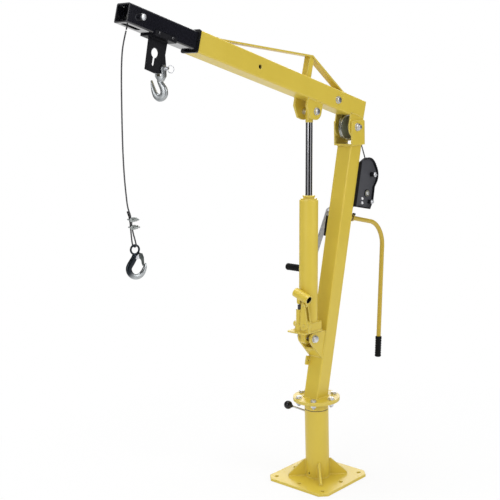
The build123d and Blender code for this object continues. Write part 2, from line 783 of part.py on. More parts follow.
# Guide roller that the cable runs over, inside the boom
with BuildPart() as guide_roller:
    with BuildSketch(boom_side.offset(-28)):
        with Locations(roller_at):
            Circle(11)
            Circle(roller_bolt + running, mode=Mode.SUBTRACT)
    extrude(amount=56)
    with BuildSketch(boom_side.offset(-3.5)):
        with Locations(roller_at):
            Circle(12)
            Circle(roller_line - cable_radius - 0.3, mode=Mode.SUBTRACT)
    extrude(amount=7, mode=Mode.SUBTRACT)


def at_boom(u, n):
    """World point in the boom's middle plane."""
    return tuple(boom_side.from_local_coords(Vector(u, n, 0)))


# Cable inside the boom, over the roller and on towards the front pulley
inside_slope = upper_tangent(roller_at, roller_line, (tip_axle_u, boom_axis), tip_line)
bend_way = (leave_slope + inside_slope) / 2 + pi / 2
bend_reach = roller_line / cos((leave_slope - inside_slope) / 2)
bend_u = roller_at[0] + bend_reach * cos(bend_way)
bend_n = roller_at[1] + bend_reach * sin(bend_way)
start_u = 22
boom_cable_end = 430
boom_cable_points = (at_boom(start_u, bend_n - (bend_u - start_u) * tan(leave_slope)),
                     at_boom(bend_u, bend_n),
                     at_boom(boom_cable_end, bend_n + (boom_cable_end - bend_u) * tan(inside_slope)))
with BuildPart() as boom_cable:
    add(cord("boom cable", boom_cable_points, [roller_line]))

# Extension tube with pin holes and the slot under its front pulley
inner_bore = inner_width - 2 * inner_wall
with BuildPart() as extension_tube:
    with BuildSketch(across(boom_side, inner_rear, "x")):
        with Locations((0, boom_axis)):
            RectangleRounded(inner_width, inner_width, 5)
            RectangleRounded(inner_bore, inner_bore, 2, mode=Mode.SUBTRACT)
    extrude(amount=inner_front - inner_rear)
    with BuildSketch(boom_side):
        with Locations(*[(pin_hole_u + pin_step * step, boom_axis) for step in range(-2, 4)]):
            Circle(pin_hole)
        with Locations((tip_axle_u, boom_axis)):
            Circle(tip_bolt)
    extrude(amount=40, both=True, mode=Mode.SUBTRACT)
    slot_middle = at_boom(1096, boom_axis - 20)
    with BuildSketch(Plane(origin=slot_middle, x_dir=boom_side.x_dir, z_dir=-boom_side.y_dir)):
        RectangleRounded(64, 22, 6)
    extrude(amount=12, mode=Mode.SUBTRACT)

# Black hook bracket: saddle under the extension and a keyhole plate
under_inner = boom_axis - inner_width / 2
clevis_at = (951, -41.4)
keyhole_u = 990
keyhole_n = -5
keyhole_slot = 5.5
with BuildPart() as hook_bracket:
    with BuildSketch(across(boom_side, 940, "x")):
        with Locations((0, under_inner + 3)):
            Rectangle(66, 16)
        with Locations((0, under_inner + 10)):
            Rectangle(inner_width, 20, mode=Mode.SUBTRACT)
    extrude(amount=88)
    with BuildSketch(boom_side):
        with BuildLine():
            Polyline((949, under_inner - 5), (1021.5, under_inner - 5), (1021.5, 25), (1016, -61), (976, -63),
                     (956, -57), (935, -41), (949, 0), close=True)
        make_face()
        with Locations(clevis_at):
            Circle(16)
        with Locations((keyhole_u, keyhole_n)):
            Circle(15, mode=Mode.SUBTRACT)
        with Locations((keyhole_u, keyhole_n - 17)):
            Rectangle(2 * keyhole_slot, 34, mode=Mode.SUBTRACT)
        with Locations((keyhole_u, keyhole_n - 34)):
            Circle(keyhole_slot, mode=Mode.SUBTRACT)
        with Locations(clevis_at):
            Circle(6.5, mode=Mode.SUBTRACT)
    extrude(amount=3, both=True)

# Small screws in the saddle's sides
with BuildPart() as bracket_screws:
    for u in (958, 1012):
        for side in (1, -1):
            spot = boom_side.from_local_coords(Vector(u, under_inner + 5.5, -33 * side))
            with BuildSketch(Plane(origin=spot, z_dir=(0, side, 0))):
                Circle(4.6)
            extrude(amount=3)

# Front axle bolt
with BuildPart() as front_axle:
    axle_seat = boom_side.from_local_coords(Vector(tip_axle_u, boom_axis, -29))
    add(hex_bolt(Plane(origin=axle_seat, z_dir=(0, 1, 0)), tip_bolt, 16, 6.4, inner_width, 7, 3))

# Front pulley
with BuildPart() as front_pulley:
    with BuildSketch(boom_side.offset(-7)):
        with Locations((tip_axle_u, boom_axis)):
            Circle(tip_radius)
    extrude(amount=14)
    with BuildSketch(*pair(boom_side, 24, 7)):
        with Locations((tip_axle_u, boom_axis)):
            Circle(9)
    extrude(amount=17)
    with BuildSketch(Plane(origin=at_boom(tip_axle_u, boom_axis), x_dir=(0, 1, 0), z_dir=boom_side.x_dir)):
        with BuildLine():
            groove = tip_line - cable_radius - 0.3
            Polyline((-4.5, 25), (-2.7, 20.5), (-1.2, groove), (1.2, groove), (2.7, 20.5), (4.5, 25),
                     close=True)
        make_face()
    revolve(axis=Axis(at_boom(tip_axle_u, boom_axis), (0, 1, 0)), mode=Mode.SUBTRACT)
    with BuildSketch(boom_side.offset(-25)):
        with Locations((tip_axle_u, boom_axis)):
            Circle(tip_bolt + running)
    extrude(amount=50, mode=Mode.SUBTRACT)

# Cable inside the extension, over the front pulley and out through the slot
exit_u = tip_axle_u + tip_line
exit_n = 26
tip_start_u = 620
on_top = pi / 2 + inside_slope


def on_tip(turn):
    """Point of the cable on the front pulley."""
    return at_boom(tip_axle_u + tip_line * cos(turn), boom_axis + tip_line * sin(turn))


with BuildPart() as tip_cable:
    with BuildLine() as tip_route:
        Line(at_boom(tip_start_u, bend_n + (tip_start_u - bend_u) * tan(inside_slope)), on_tip(on_top))
        ThreePointArc(on_tip(on_top), on_tip(on_top / 2), on_tip(0))
        Line(on_tip(0), at_boom(exit_u, exit_n + 3.2))
    tip_wire = tip_route.wire()
    with BuildSketch(Plane(origin=tip_wire @ 0, z_dir=tip_wire % 0)):
        RegularPolygon(rope_corner, 8)
    sweep()

def wire_ring(place, radius, wire):
    """Round ring of eight-sided wire in the place's XY plane."""
    flat = Plane(place)
    with BuildPart() as hoop:
        with BuildSketch(Plane(origin=flat.origin, x_dir=flat.x_dir, z_dir=flat.y_dir)):
            with Locations((radius, 0)):
                RegularPolygon(wire, 8)
        revolve(axis=Axis(flat.origin, flat.z_dir))
    return hoop.part


# Grab hook that hangs from the bracket; its clevis and body lie in one upright plane
grab_bearing = radians(105)
grab_way = Vector(cos(grab_bearing), sin(grab_bearing), 0)
clevis_world = Vector(*at_boom(*clevis_at))
grab_face = Plane(origin=clevis_world, x_dir=grab_way, z_dir=grab_way.cross(Vector(0, 0, 1)))
grab_end = Plane(origin=clevis_world, x_dir=Vector(0, 0, 1).cross(grab_way), z_dir=grab_way)
ear_inner = 8
ear_outer = 15.5
ear_width = 19
clevis_pin = 5
with BuildPart() as grab_hook:
    with BuildSketch(grab_face):
        with BuildLine():
            Polyline((-13.39, -42), (-13, -22), (13, -22), (19.5, -67))
            ThreePointArc((19.5, -67), (-12.5, -99), (-44.5, -67))
            Polyline((-44.5, -67), (-44.5, -42), (-40, -34), (-32.5, -34), (-27.2, -42), (-19.3, -73.62))
            ThreePointArc((-19.3, -73.62), (-11.18, -78.5), (-6.3, -70.38))
            Line((-6.3, -70.38), (-13.39, -42))
        make_face()
    extrude(amount=9, both=True)
    grab_sides = grab_hook.faces().sort_by(Axis(clevis_world, grab_face.z_dir))
    fillet(grab_sides[0].edges() + grab_sides[-1].edges(), 5)
    with BuildSketch(grab_end.offset(-ear_outer), grab_end.offset(ear_inner)):
        Circle(10.5)
        with Locations((0, -16)):
            Rectangle(ear_width, 32)
    extrude(amount=ear_outer - ear_inner)
    with BuildSketch(grab_end.offset(-ear_outer)):
        with Locations((0, -27)):
            Rectangle(ear_width, 12)
    extrude(amount=2 * ear_outer)
    with BuildSketch(grab_end.offset(-20)):
        Circle(clevis_pin)
    extrude(amount=40, mode=Mode.SUBTRACT)

# Clevis pin with its head and a ring pin through its end
pin_tail = 24
with BuildPart() as grab_hook_pin:
    with BuildSketch(grab_end.offset(-ear_outer)):
        Circle(clevis_pin)
    extrude(amount=ear_outer + pin_tail)
    with BuildSketch(grab_end.offset(-ear_outer)):
        Circle(8.5)
    extrude(amount=-4)
    add(wire_ring(grab_face * Location((31, -3, 0)), 11, 1.5))

# Load cable: out of the slot, down to the clips, through the hook's eye and back up
loop_bearing = radians(107)
loop_way = Vector(cos(loop_bearing), sin(loop_bearing), 0)
eye_height = 1007.2
loop_foot = eye_height + 8.3
rope_x = 850
strand = 2.7
spread = 10.5
neck_height = 1064
wide_height = 1038


def in_loop(aside, height):
    """Point in the upright plane of the cable's loop."""
    return tuple(Vector(rope_x, 0, height) + loop_way * aside)


hang_start = at_boom(exit_u, exit_n)
hang_points = (hang_start, at_boom(exit_u, exit_n - 42), (864.4, 0, 1560), (870, 0, 1500), (873.3, 0, 1435),
               (875.6, 0, 1366), (876.3, 0, 1292), (874.6, 0, 1226), (869.6, 0, 1174), (861, 0.5, 1130),
               in_loop(strand, 1106), in_loop(strand, neck_height), in_loop(spread, wide_height),
               in_loop(spread, loop_foot), in_loop(-spread, loop_foot),
               in_loop(-spread, wide_height), in_loop(-strand, neck_height), in_loop(-strand, 1104),
               in_loop(-9, 1125))
hang_radii = [None] * 12 + [10.4, 10.4] + [None] * 3
with BuildPart() as load_cable:
    add(cord("load cable", hang_points, hang_radii))
    with Locations(hang_start):
        Sphere(rope_corner)

# Black sleeve shrunk over the cable's cut end
sleeve_radius = 3.1
sleeve_length = 16
tail_end = Vector(*hang_points[-1])
tail_way = (tail_end - Vector(*hang_points[-2])).normalized()
with BuildPart() as cable_end_sleeve:
    with BuildSketch(Plane(origin=tail_end + tail_way, z_dir=tail_way)):
        Circle(sleeve_radius)
    extrude(amount=-sleeve_length)
    add(load_cable.part, mode=Mode.SUBTRACT)

# Two wire-rope clips: a threaded U round both strands, a saddle and two nuts each
bow_half = 5.6
bow_corner = 2.1
bow_ends = 25
with BuildPart() as cable_clips:
    for height in (1076, 1096):
        clip_top = Plane(origin=(rope_x, 0, height), x_dir=loop_way, z_dir=(0, 0, 1))
        ends = [clip_top.from_local_coords(Vector(bow_ends, aside, 0)) for aside in (bow_half, -bow_half)]
        bends = [clip_top.from_local_coords(Vector(-2.2, aside, 0)) for aside in (bow_half, -bow_half)]
        with BuildLine() as bow:
            Line(ends[0], bends[0])
            ThreePointArc(bends[0], clip_top.from_local_coords(Vector(-2.2 - bow_half, 0, 0)), bends[1])
            Line(bends[1], ends[1])
        with BuildSketch(Plane(origin=bow.wire() @ 0, z_dir=bow.wire() % 0)):
            RegularPolygon(bow_corner, 8)
        sweep()
        with Locations(clip_top * Location((9, 0, 0))):
            Box(7.2, 20, 10)
        for aside in (-bow_half, bow_half):
            nut_spot = clip_top.from_local_coords(Vector(12.6, aside, 0))
            with BuildSketch(Plane(origin=nut_spot, x_dir=(0, 0, 1), z_dir=loop_way)):
                RegularPolygon(4.6, 6, major_radius=False)
            extrude(amount=5)

# Slip hook below the loop
hook_bearing = radians(165)
hook_way = Vector(cos(hook_bearing), sin(hook_bearing), 0)
hook_face = Plane(origin=(rope_x, 0, eye_height), x_dir=hook_way, z_dir=hook_way.cross(Vector(0, 0, 1)))
latch_at = (1, -25)
with BuildPart() as load_hook:
    with BuildSketch(hook_face):
        with BuildLine():
            Polyline((-14, -26.2), (-8, -12), (8, -12), (6.5, -24), (4, -38.5))
            ThreePointArc((4, -38.5), (-14.5, -57), (4, -75.5))
            ThreePointArc((4, -75.5), (17.1, -70.1), (22, -53))
            Polyline((22, -53), (30, -47), (36.5, -46), (37.3, -55))
            ThreePointArc((37.3, -55), (2, -93.5), (-33.4, -55))
            ThreePointArc((-33.4, -55), (-27.2, -38), (-14, -26.2))
        make_face()
    extrude(amount=7.5, both=True)
    hook_sides = load_hook.faces().sort_by(Axis(hook_face.origin, hook_face.z_dir))
    fillet(hook_sides[0].edges() + hook_sides[-1].edges(), 4)
    add(wire_ring(hook_face.location, 13.5, 2.5))
    with BuildSketch(hook_face.offset(-10)):
        with Locations(latch_at):
            Circle(2 + running)
    extrude(amount=20, mode=Mode.SUBTRACT)

# Sprung latch across the hook's mouth
with BuildPart() as hook_latch:
    with BuildSketch(hook_face.offset(7.9), hook_face.offset(-9.4)):
        with BuildLine():
            Polyline((-3, -22), (3, -20.5), (13, -29), (9, -33), (-1, -29), close=True)
        make_face()
    extrude(amount=1.5)
    with BuildSketch(hook_face.offset(-9.4)):
        Polygon((9, -30.5), (11.2, -28.6), (27, -48.2), (24.8, -49), align=None)
    extrude(amount=18.8)
    with BuildSketch(hook_face.offset(-9.4)):
        with Locations(latch_at):
            Circle(2)
    extrude(amount=18.8)

# Jack base casting: foot on its pin, flange, block and the pump link's lug
pump_f = 52
link_pin = (27, 134)
link_foot = (31, 60)
link_end = 17
foot_half = 10
block_bottom = 33
foot_flange = 5
with BuildPart() as jack_base:
    with BuildSketch(across(jack_side, block_bottom, "y")):
        RectangleRounded(76, 76, 12)
        with Locations((0, -pump_f + 4)):
            RectangleRounded(26, 28, 8)
    extrude(amount=block_top - block_bottom)
    with BuildSketch(across(jack_side, block_bottom - foot_flange, "y")):
        with Locations((0, -18)):
            RectangleRounded(84, 108, 8)
    extrude(amount=foot_flange)
    with BuildSketch(jack_side):
        with Locations((5, 5)):
            RectangleRounded(56, 46, 14)
        with Locations((5, 18)):
            Rectangle(56, 20)
    extrude(amount=foot_half, both=True)
    with BuildSketch(jack_side):
        with Locations((6.8, 1.9)):
            RectangleRounded(31.6, 20.2, 8)
    extrude(amount=21, both=True, mode=Mode.SUBTRACT)
    with BuildSketch(across(jack_side, 46, "x")):
        with Locations(link_foot):
            Circle(link_end + 1)
        with Locations((31, 46)):
            Rectangle(2 * link_end + 2, 27)
        with Locations(link_foot):
            Circle(5, mode=Mode.SUBTRACT)
    extrude(amount=12)

# Reservoir with the ram's bore
with BuildPart() as jack_reservoir:
    with BuildSketch(across(jack_side, block_top, "y")):
        Circle(reservoir_radius)
    extrude(amount=reservoir_top - block_top)
    fillet(jack_reservoir.faces().sort_by(Axis.Z)[-1].edges(), 3)
    with BuildSketch(across(jack_side, 90, "y")):
        Circle(ram_radius + 1)
    extrude(amount=reservoir_top, mode=Mode.SUBTRACT)

# Cap rings round the ram
with BuildPart() as jack_cap:
    for rise, height, radius in ((0, 5, 29.75), (5, 4, 20), (9, 7, 22.25)):
        with BuildSketch(across(jack_side, reservoir_top + rise, "y")):
            Circle(radius)
        extrude(amount=height)
    with BuildSketch(across(jack_side, reservoir_top - 8, "y")):
        Circle(ram_radius + running)
    extrude(amount=40, mode=Mode.SUBTRACT)

# Pump cylinder, its two link straps and their pins
with BuildPart() as pump_body:
    with BuildSketch(across(jack_side, block_top, "y")):
        with Locations((0, -pump_f)):
            Circle(11)
    extrude(amount=53)
    with BuildSketch(across(jack_side, 72, "y")):
        with Locations((0, -pump_f)):
            Circle(6 + running)
    extrude(amount=60, mode=Mode.SUBTRACT)
    for f in (40, 58.5):
        with BuildSketch(across(jack_side, f, "x")):
            with Locations(link_pin):
                Circle(7.5)
            with Locations(link_foot):
                Circle(link_end)
            make_hull()
        extrude(amount=5.5)
    for spot in (link_pin, link_foot):
        with BuildSketch(across(jack_side, 38.5, "x")):
            with Locations(spot):
                Circle(5)
        extrude(amount=28)

# Release valve on the far side of the block
with BuildPart() as release_valve:
    valve_seat = jack_side.from_local_coords(Vector(8, 47, 38.3))
    with BuildSketch(Plane(origin=valve_seat, z_dir=(0, -1, 0))):
        Circle(7)
    extrude(amount=8)
    with BuildSketch(Plane(origin=valve_seat, z_dir=(0, -1, 0)).offset(8)):
        RegularPolygon(11, 8)
    extrude(amount=10)

# Ram with its eye
with BuildPart() as jack_ram:
    with BuildSketch(across(jack_side, ram_bottom, "y")):
        Circle(ram_radius)
    extrude(amount=ram_shoulder - ram_bottom + 2)
    with BuildSketch(across(jack_side, ram_shoulder, "y")):
        Circle(ram_radius + 1)
    extrude(amount=56)
    chamfer(jack_ram.faces().sort_by(Axis.Z)[-1].edges(), 5)
    with BuildSketch(jack_side):
        with Locations((0, jack_length)):
            Circle(ram_pin_radius + running)
    extrude(amount=20, both=True, mode=Mode.SUBTRACT)

# Pump handle socket with its pivot lug and the ear above the plunger
socket_rear = across(jack_side, pump_f, "x").from_local_coords(Vector(-17.3, 175.6, 0))
socket_front = across(jack_side, pump_f, "x").from_local_coords(Vector(46.1, 153.7, 0))
socket_way = (socket_front - socket_rear).normalized()
with BuildPart() as pump_socket:
    with BuildSketch(Plane(origin=socket_rear, z_dir=socket_way)):
        Circle(17)
    extrude(amount=67)
    with BuildSketch(across(jack_side, pump_f - 5, "x")):
        with Locations(link_pin):
            Circle(10)
        Polygon((17, 134), (37, 134), (40, 157), (14, 162), align=None)
        with Locations((0, 141)):
            Circle(7)
        Polygon((-7, 141), (7, 141), (7, 163), (-7, 165), align=None)
        with Locations(link_pin):
            Circle(5 + running, mode=Mode.SUBTRACT)
    extrude(amount=10)
    with BuildSketch(Plane(origin=socket_rear, z_dir=socket_way).offset(9)):
        Circle(13)
    extrude(amount=60, mode=Mode.SUBTRACT)

# Pump plunger
with BuildPart() as pump_plunger:
    with BuildSketch(across(jack_side, 86, "y")):
        with Locations((0, -pump_f)):
            Circle(6)
    extrude(amount=47.2)

# One file for each piece
pieces = {
    "base_plate": base_plate, "pedestal_tube": pedestal_tube, "base_gussets": base_gussets,
    "swivel_bushes": swivel_bushes, "lock_pin": lock_pin, "lock_pin_knob": lock_pin_knob,
    "swivel_spindle": swivel_spindle, "swivel_collar": swivel_collar, "mast_flange": mast_flange,
    "flange_bolts": flange_bolts, "mast_tube": mast_tube, "mast_head": mast_head,
    "mast_pivot_bolts": mast_pivot_bolts, "jack_bracket": jack_bracket, "mast_tab": mast_tab,
    "winch_frame": winch_frame, "winch_axles": winch_axles, "winch_mount_bolts": winch_mount_bolts,
    "turning_handle": turning_handle, "handle_socket": handle_socket, "handle_grip": handle_grip,
    "side_pad": side_pad, "mast_cable": mast_cable, "head_pulley": head_pulley,
    "winch_drum": winch_drum, "drum_gear": drum_gear, "drum_winding": drum_winding,
    "winch_crank": winch_crank, "crank_grip": crank_grip, "winch_pawl": winch_pawl,
    "boom_tube": boom_tube, "boom_lugs": boom_lugs, "truss_strap": truss_strap,
    "truss_post": truss_post, "ram_lugs": ram_lugs, "boom_bolts": boom_bolts,
    "boom_collar": boom_collar, "guide_roller": guide_roller, "boom_cable": boom_cable,
    "extension_tube": extension_tube, "hook_bracket": hook_bracket, "bracket_screws": bracket_screws,
    "front_axle": front_axle, "front_pulley": front_pulley, "tip_cable": tip_cable,
    "grab_hook": grab_hook, "grab_hook_pin": grab_hook_pin, "load_cable": load_cable,
    "cable_end_sleeve": cable_end_sleeve, "cable_clips": cable_clips, "load_hook": load_hook,
    "hook_latch": hook_latch,
    "jack_base": jack_base, "jack_reservoir": jack_reservoir, "jack_cap": jack_cap,
    "pump_body": pump_body, "release_valve": release_valve, "jack_ram": jack_ram,
    "pump_socket": pump_socket, "pump_plunger": pump_plunger,
}
for name, piece in pieces.items():
    piece.part.label = name
    export_step(piece.part, "parts/" + name + ".step")
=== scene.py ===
import bmesh
import bpy
import json
import math
from mathutils import Matrix, Vector


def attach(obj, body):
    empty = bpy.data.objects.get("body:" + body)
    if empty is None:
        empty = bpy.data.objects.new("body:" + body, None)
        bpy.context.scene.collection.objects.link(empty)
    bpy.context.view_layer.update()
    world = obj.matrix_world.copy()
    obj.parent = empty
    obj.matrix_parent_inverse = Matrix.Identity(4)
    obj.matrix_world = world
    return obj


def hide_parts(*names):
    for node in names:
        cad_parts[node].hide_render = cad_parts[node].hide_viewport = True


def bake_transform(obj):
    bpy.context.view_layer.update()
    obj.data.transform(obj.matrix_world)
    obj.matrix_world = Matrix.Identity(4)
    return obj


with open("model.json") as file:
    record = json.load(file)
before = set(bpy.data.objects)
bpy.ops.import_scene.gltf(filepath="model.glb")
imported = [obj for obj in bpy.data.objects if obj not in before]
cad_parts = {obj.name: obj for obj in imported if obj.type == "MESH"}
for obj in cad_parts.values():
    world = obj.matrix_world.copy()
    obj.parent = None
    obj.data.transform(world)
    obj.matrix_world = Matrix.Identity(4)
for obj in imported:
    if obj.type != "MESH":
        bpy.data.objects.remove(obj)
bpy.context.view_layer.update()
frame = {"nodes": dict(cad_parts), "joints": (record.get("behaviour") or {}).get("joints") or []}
scene = bpy.context.scene


# Studio: a pale floor that fades into a white backdrop, soft lamps all round, black cards that only
# mirror-bright surfaces see, and the camera at the photograph's place.
def placed(name, data):
    """A new object in the scene."""
    made = bpy.data.objects.new(name, data)
    scene.collection.objects.link(made)
    return made


def mesh_of(name, points, edges, faces):
    """A mesh of points, edges and faces."""
    mesh = bpy.data.meshes.new(name)
    mesh.from_pydata(points, edges, faces)
    return mesh


def spun(degrees, axis):
    """A turn about an axis."""
    return Matrix.Rotation(math.radians(degrees), 4, axis)


def sweep(start, end, steps):
    """Angles in even steps between two bearings in degrees."""
    return [math.radians(start + (end - start) * k / steps) for k in range(steps + 1)]


def polar(radius, turn, height=0.0):
    """Point at a radius, an angle and a height."""
    return Vector((radius * math.cos(turn), radius * math.sin(turn), height))


scene.view_settings.view_transform = "Standard"
camera_data = bpy.data.cameras.new("camera")
camera_data.lens = 72.04
camera_data.sensor_width = 36
camera = placed("camera", camera_data)
scene.camera = camera
yaw = 132.747
pitch = -10.3524
roll = -1.6747
camera_spot = Matrix.Translation((2.78539, 2.25878, 1.53554))
camera.matrix_world = camera_spot @ spun(yaw, "Z") @ spun(90 + pitch, "X") @ spun(roll, "Z")


def feed(tree, node, inputs):
    """Sets a node's inputs, each to a value, to another node's output or to a node's first output."""
    for key, value in inputs.items():
        source = value.outputs[0] if isinstance(value, bpy.types.Node) else value
        if isinstance(source, bpy.types.NodeSocket):
            tree.links.new(source, node.inputs[key])
        else:
            node.inputs[key].default_value = source
    return node


def grow(tree, kind, inputs=None, **settings):
    """A new node in a tree."""
    made = tree.nodes.new(kind)
    for key, value in settings.items():
        setattr(made, key, value)
    return feed(tree, made, inputs or {})


def reckon(tree, operation, *numbers):
    """A sum of numbers or outputs."""
    return grow(tree, "ShaderNodeMath", dict(enumerate(numbers)), operation=operation)


def measure(tree, operation, *vectors):
    """A number from vectors."""
    return grow(tree, "ShaderNodeVectorMath", dict(enumerate(vectors)), operation=operation).outputs["Value"]


def ranged(tree, value, source, target, **settings):
    """A value carried from one range to another."""
    ends = {"From Min": source[0], "From Max": source[1], "To Min": target[0], "To Max": target[1]}
    return grow(tree, "ShaderNodeMapRange", {"Value": value, **ends}, **settings)


def object_spot(tree):
    """Object coordinates."""
    return grow(tree, "ShaderNodeTexCoord").outputs["Object"]


def rooted(holder):
    """The node tree of a world or a material."""
    holder.use_nodes = True
    return holder.node_tree


def surface(tree, sockets):
    """Sets sockets of a material's shader."""
    feed(tree, tree.nodes["Principled BSDF"], sockets)


def seen_directly(tree):
    """One for what the camera sees straight, in a mirror or through glass."""
    path = grow(tree, "ShaderNodeLightPath").outputs
    mirror = reckon(tree, "MAXIMUM", path["Is Camera Ray"], path["Is Glossy Ray"])
    return reckon(tree, "MAXIMUM", mirror, path["Is Transmission Ray"])


scene.world = bpy.data.worlds.new("studio")
sky = rooted(scene.world)
sky.nodes.clear()
sight = grow(sky, "ShaderNodeSeparateXYZ", {0: grow(sky, "ShaderNodeTexCoord").outputs["Generated"]})
ceiling = ranged(sky, sight.outputs["Z"], (0.3, 0.6), (1.0, 0.12))
room_light = grow(sky, "ShaderNodeBackground", {"Color": (1, 1, 1, 1), "Strength": 0.55})
white_wall = grow(sky, "ShaderNodeBackground", {"Color": ceiling, "Strength": 1.0})
sky_mix = grow(sky, "ShaderNodeMixShader", {0: seen_directly(sky), 1: room_light, 2: white_wall})
grow(sky, "ShaderNodeOutputWorld", {"Surface": sky_mix})

floor_size = 4.5
floor_corners = [(x * floor_size, y * floor_size, 0) for x, y in ((-1, -1), (1, -1), (1, 1), (-1, 1))]
floor_mesh = mesh_of("floor", floor_corners, [], [(0, 1, 2, 3)])
floor = placed("floor", floor_mesh)
floor_finish = bpy.data.materials.new("pale_floor")
ground = rooted(floor_finish)
ground.nodes.clear()
from_middle = measure(ground, "LENGTH", object_spot(ground))
fade = ranged(ground, from_middle, (0.3, 1.4), (0.8, 1.0))
fade_seen = reckon(ground, "MULTIPLY", fade, seen_directly(ground))
matt_white = grow(ground, "ShaderNodeBsdfDiffuse", {"Color": (0.82, 0.82, 0.82, 1)})
clean_white = grow(ground, "ShaderNodeEmission", {"Color": (1, 1, 1, 1), "Strength": 1.0})
floor_mix = grow(ground, "ShaderNodeMixShader", {0: fade_seen, 1: matt_white, 2: clean_white})
grow(ground, "ShaderNodeOutputMaterial", {"Surface": floor_mix})
floor_mesh.materials.append(floor_finish)


def lamp(name, place, size, power):
    """Large square soft box aimed at the crane's middle."""
    data = bpy.data.lights.new(name, "AREA")
    data.shape = "SQUARE"
    data.size = size
    data.energy = power
    box = placed(name, data)
    box.location = place
    box.rotation_euler = (crane_middle - Vector(place)).to_track_quat("-Z", "Y").to_euler()


crane_middle = Vector((0.3, 0, 0.9))
lamp("key_lamp", (-0.3, 3.6, 2.5), size=2.0, power=46)
lamp("front_lamp", (4.2, 0.4, 2.2), size=2.0, power=44)
lamp("top_lamp", (0.2, -0.4, 4.2), size=2.4, power=80)
lamp("rear_lamp", (-3.4, -2.4, 2.2), size=2.0, power=35)


def black_card(name, start, end):
    """A matt black card on an arc of bearings round the set, seen only in reflections."""
    reach = 4.2
    height = 3.0
    steps = 12
    foot = [polar(reach, turn) for turn in sweep(start, end, steps)]
    head = [polar(reach, turn, height) for turn in sweep(start, end, steps)]
    mesh = mesh_of(name, foot + head, [], [(k, k + 1, k + steps + 2, k + steps + 1) for k in range(steps)])
    mesh.materials.append(card_black)
    card = placed(name, mesh)
    card.visible_camera = False
    card.visible_diffuse = False
    card.visible_shadow = False


card_black = bpy.data.materials.new("card_black")
surface(rooted(card_black), {"Base Color": (0.01, 0.01, 0.01, 1), "Specular IOR Level": 0.0})
black_card("front_card", 22, 78)
black_card("side_card", 112, 188)
black_card("far_card", 252, 290)
black_card("left_card", 300, 346)


# Base weldment: a laser-cut plate with clipped corners, a round pedestal tube and four gussets,
# welded with rippled beads and sprayed with safety-yellow enamel.
def new_finish(name):
    """A new material, its node tree and its object coordinates."""
    material = bpy.data.materials.new(name)
    tree = rooted(material)
    return material, tree, object_spot(tree)


def noise(tree, spot, scale, detail):
    """Noise over a surface."""
    return grow(tree, "ShaderNodeTexNoise", {"Vector": spot, "Scale": scale, "Detail": detail})


def blended(tree, share, first, second):
    """A colour between two, by the share of the second."""
    return grow(tree, "ShaderNodeMix", {0: share, 6: first, 7: second}, data_type="RGBA").outputs[2]


def relief(tree, height, strength, **base):
    """A fine bump over a surface."""
    return grow(tree, "ShaderNodeBump", {"Height": height, "Strength": strength, "Distance": 0.0004, **base})


def gloss_paint(name, colour, deep, pale, roughness, peel, coat=0.0):
    """Sprayed enamel: cloudy tone, orange peel, rounded edges with a painted highlight in the pale colour."""
    material, tree, spot = new_finish(name)
    cloud = noise(tree, spot, scale=9.0, detail=4.0)
    grains = noise(tree, spot, scale=380.0, detail=2.0)
    nibs = grow(tree, "ShaderNodeTexVoronoi", {"Vector": spot, "Scale": 130.0})
    speck = ranged(tree, nibs, (0.05, 0.12), (0.35, 0.0))
    dusty = blended(tree, speck, blended(tree, cloud, deep, colour), deep)
    rounded = grow(tree, "ShaderNodeBevel", {"Radius": 0.0028}, samples=4)
    facing = measure(tree, "DOT_PRODUCT", rounded, grow(tree, "ShaderNodeNewGeometry").outputs["Normal"])
    # Painted highlight: edges turn towards the pale colour, as if light caught them.
    edge_highlight_share = ranged(tree, facing, (0.99, 0.85), (0.0, 0.75))
    gloss = ranged(tree, cloud, (0, 1), (roughness - 0.06, roughness + 0.08))
    bump = relief(tree, grains, peel, Normal=rounded)
    surface(tree, {"Base Color": blended(tree, edge_highlight_share, dusty, pale), "Roughness": gloss, "Normal": bump,
                   "Coat Weight": coat, "Coat Roughness": 0.06})
    return material


yellow_paint = gloss_paint("yellow_paint", (0.69, 0.525, 0.062, 1), (0.62, 0.465, 0.050, 1),
                           (0.86, 0.77, 0.34, 1), roughness=0.34, peel=0.03)


def dress(material, *nodes):
    """The finish of CAD nodes whose shape stays."""
    for node in nodes:
        part = frame["nodes"][node]
        if not part.material_slots:
            part.data.materials.append(material)
        for place in part.material_slots:
            place.link = "OBJECT"
            place.material = material


def new_tree(name, sizes):
    """A Geometry Nodes tree with named inputs and a finish; gives the tree and its input sockets."""
    tree = bpy.data.node_groups.new(name, "GeometryNodeTree")
    for label, kind in {"Geometry": "Geometry", **sizes, "Finish": "Material"}.items():
        tree.interface.new_socket(name=label, in_out="INPUT", socket_type="NodeSocket" + kind)
    tree.interface.new_socket(name="Geometry", in_out="OUTPUT", socket_type="NodeSocketGeometry")
    return tree, grow(tree, "NodeGroupInput").outputs


def end_tree(tree, shape, finish):
    """The end of a tree: a real mesh in its finish."""
    real = grow(tree, "GeometryNodeRealizeInstances", {"Geometry": shape})
    done = grow(tree, "GeometryNodeSetMaterial", {"Geometry": real, "Material": finish})
    grow(tree, "NodeGroupOutput", {"Geometry": done})


def fine_line(tree, mesh, step):
    """A mesh of edges as a curve with a point at each step."""
    line = grow(tree, "GeometryNodeMeshToCurve", {"Mesh": mesh})
    return grow(tree, "GeometryNodeResampleCurve", {"Curve": line, "Length": step}, mode="LENGTH")


def phase(tree, pitch):
    """An angle that goes round once in each pitch along a curve."""
    run = grow(tree, "GeometryNodeSplineParameter").outputs["Length"]
    return reckon(tree, "MULTIPLY", reckon(tree, "DIVIDE", run, pitch), 2 * math.pi)


def swept(tree, line, section, **sizes):
    """A smooth body with one section along a line."""
    inputs = {"Curve": line, "Profile Curve": section, "Fill Caps": True, **sizes}
    body = grow(tree, "GeometryNodeCurveToMesh", inputs)
    return grow(tree, "GeometryNodeSetShadeSmooth", {"Geometry": body})


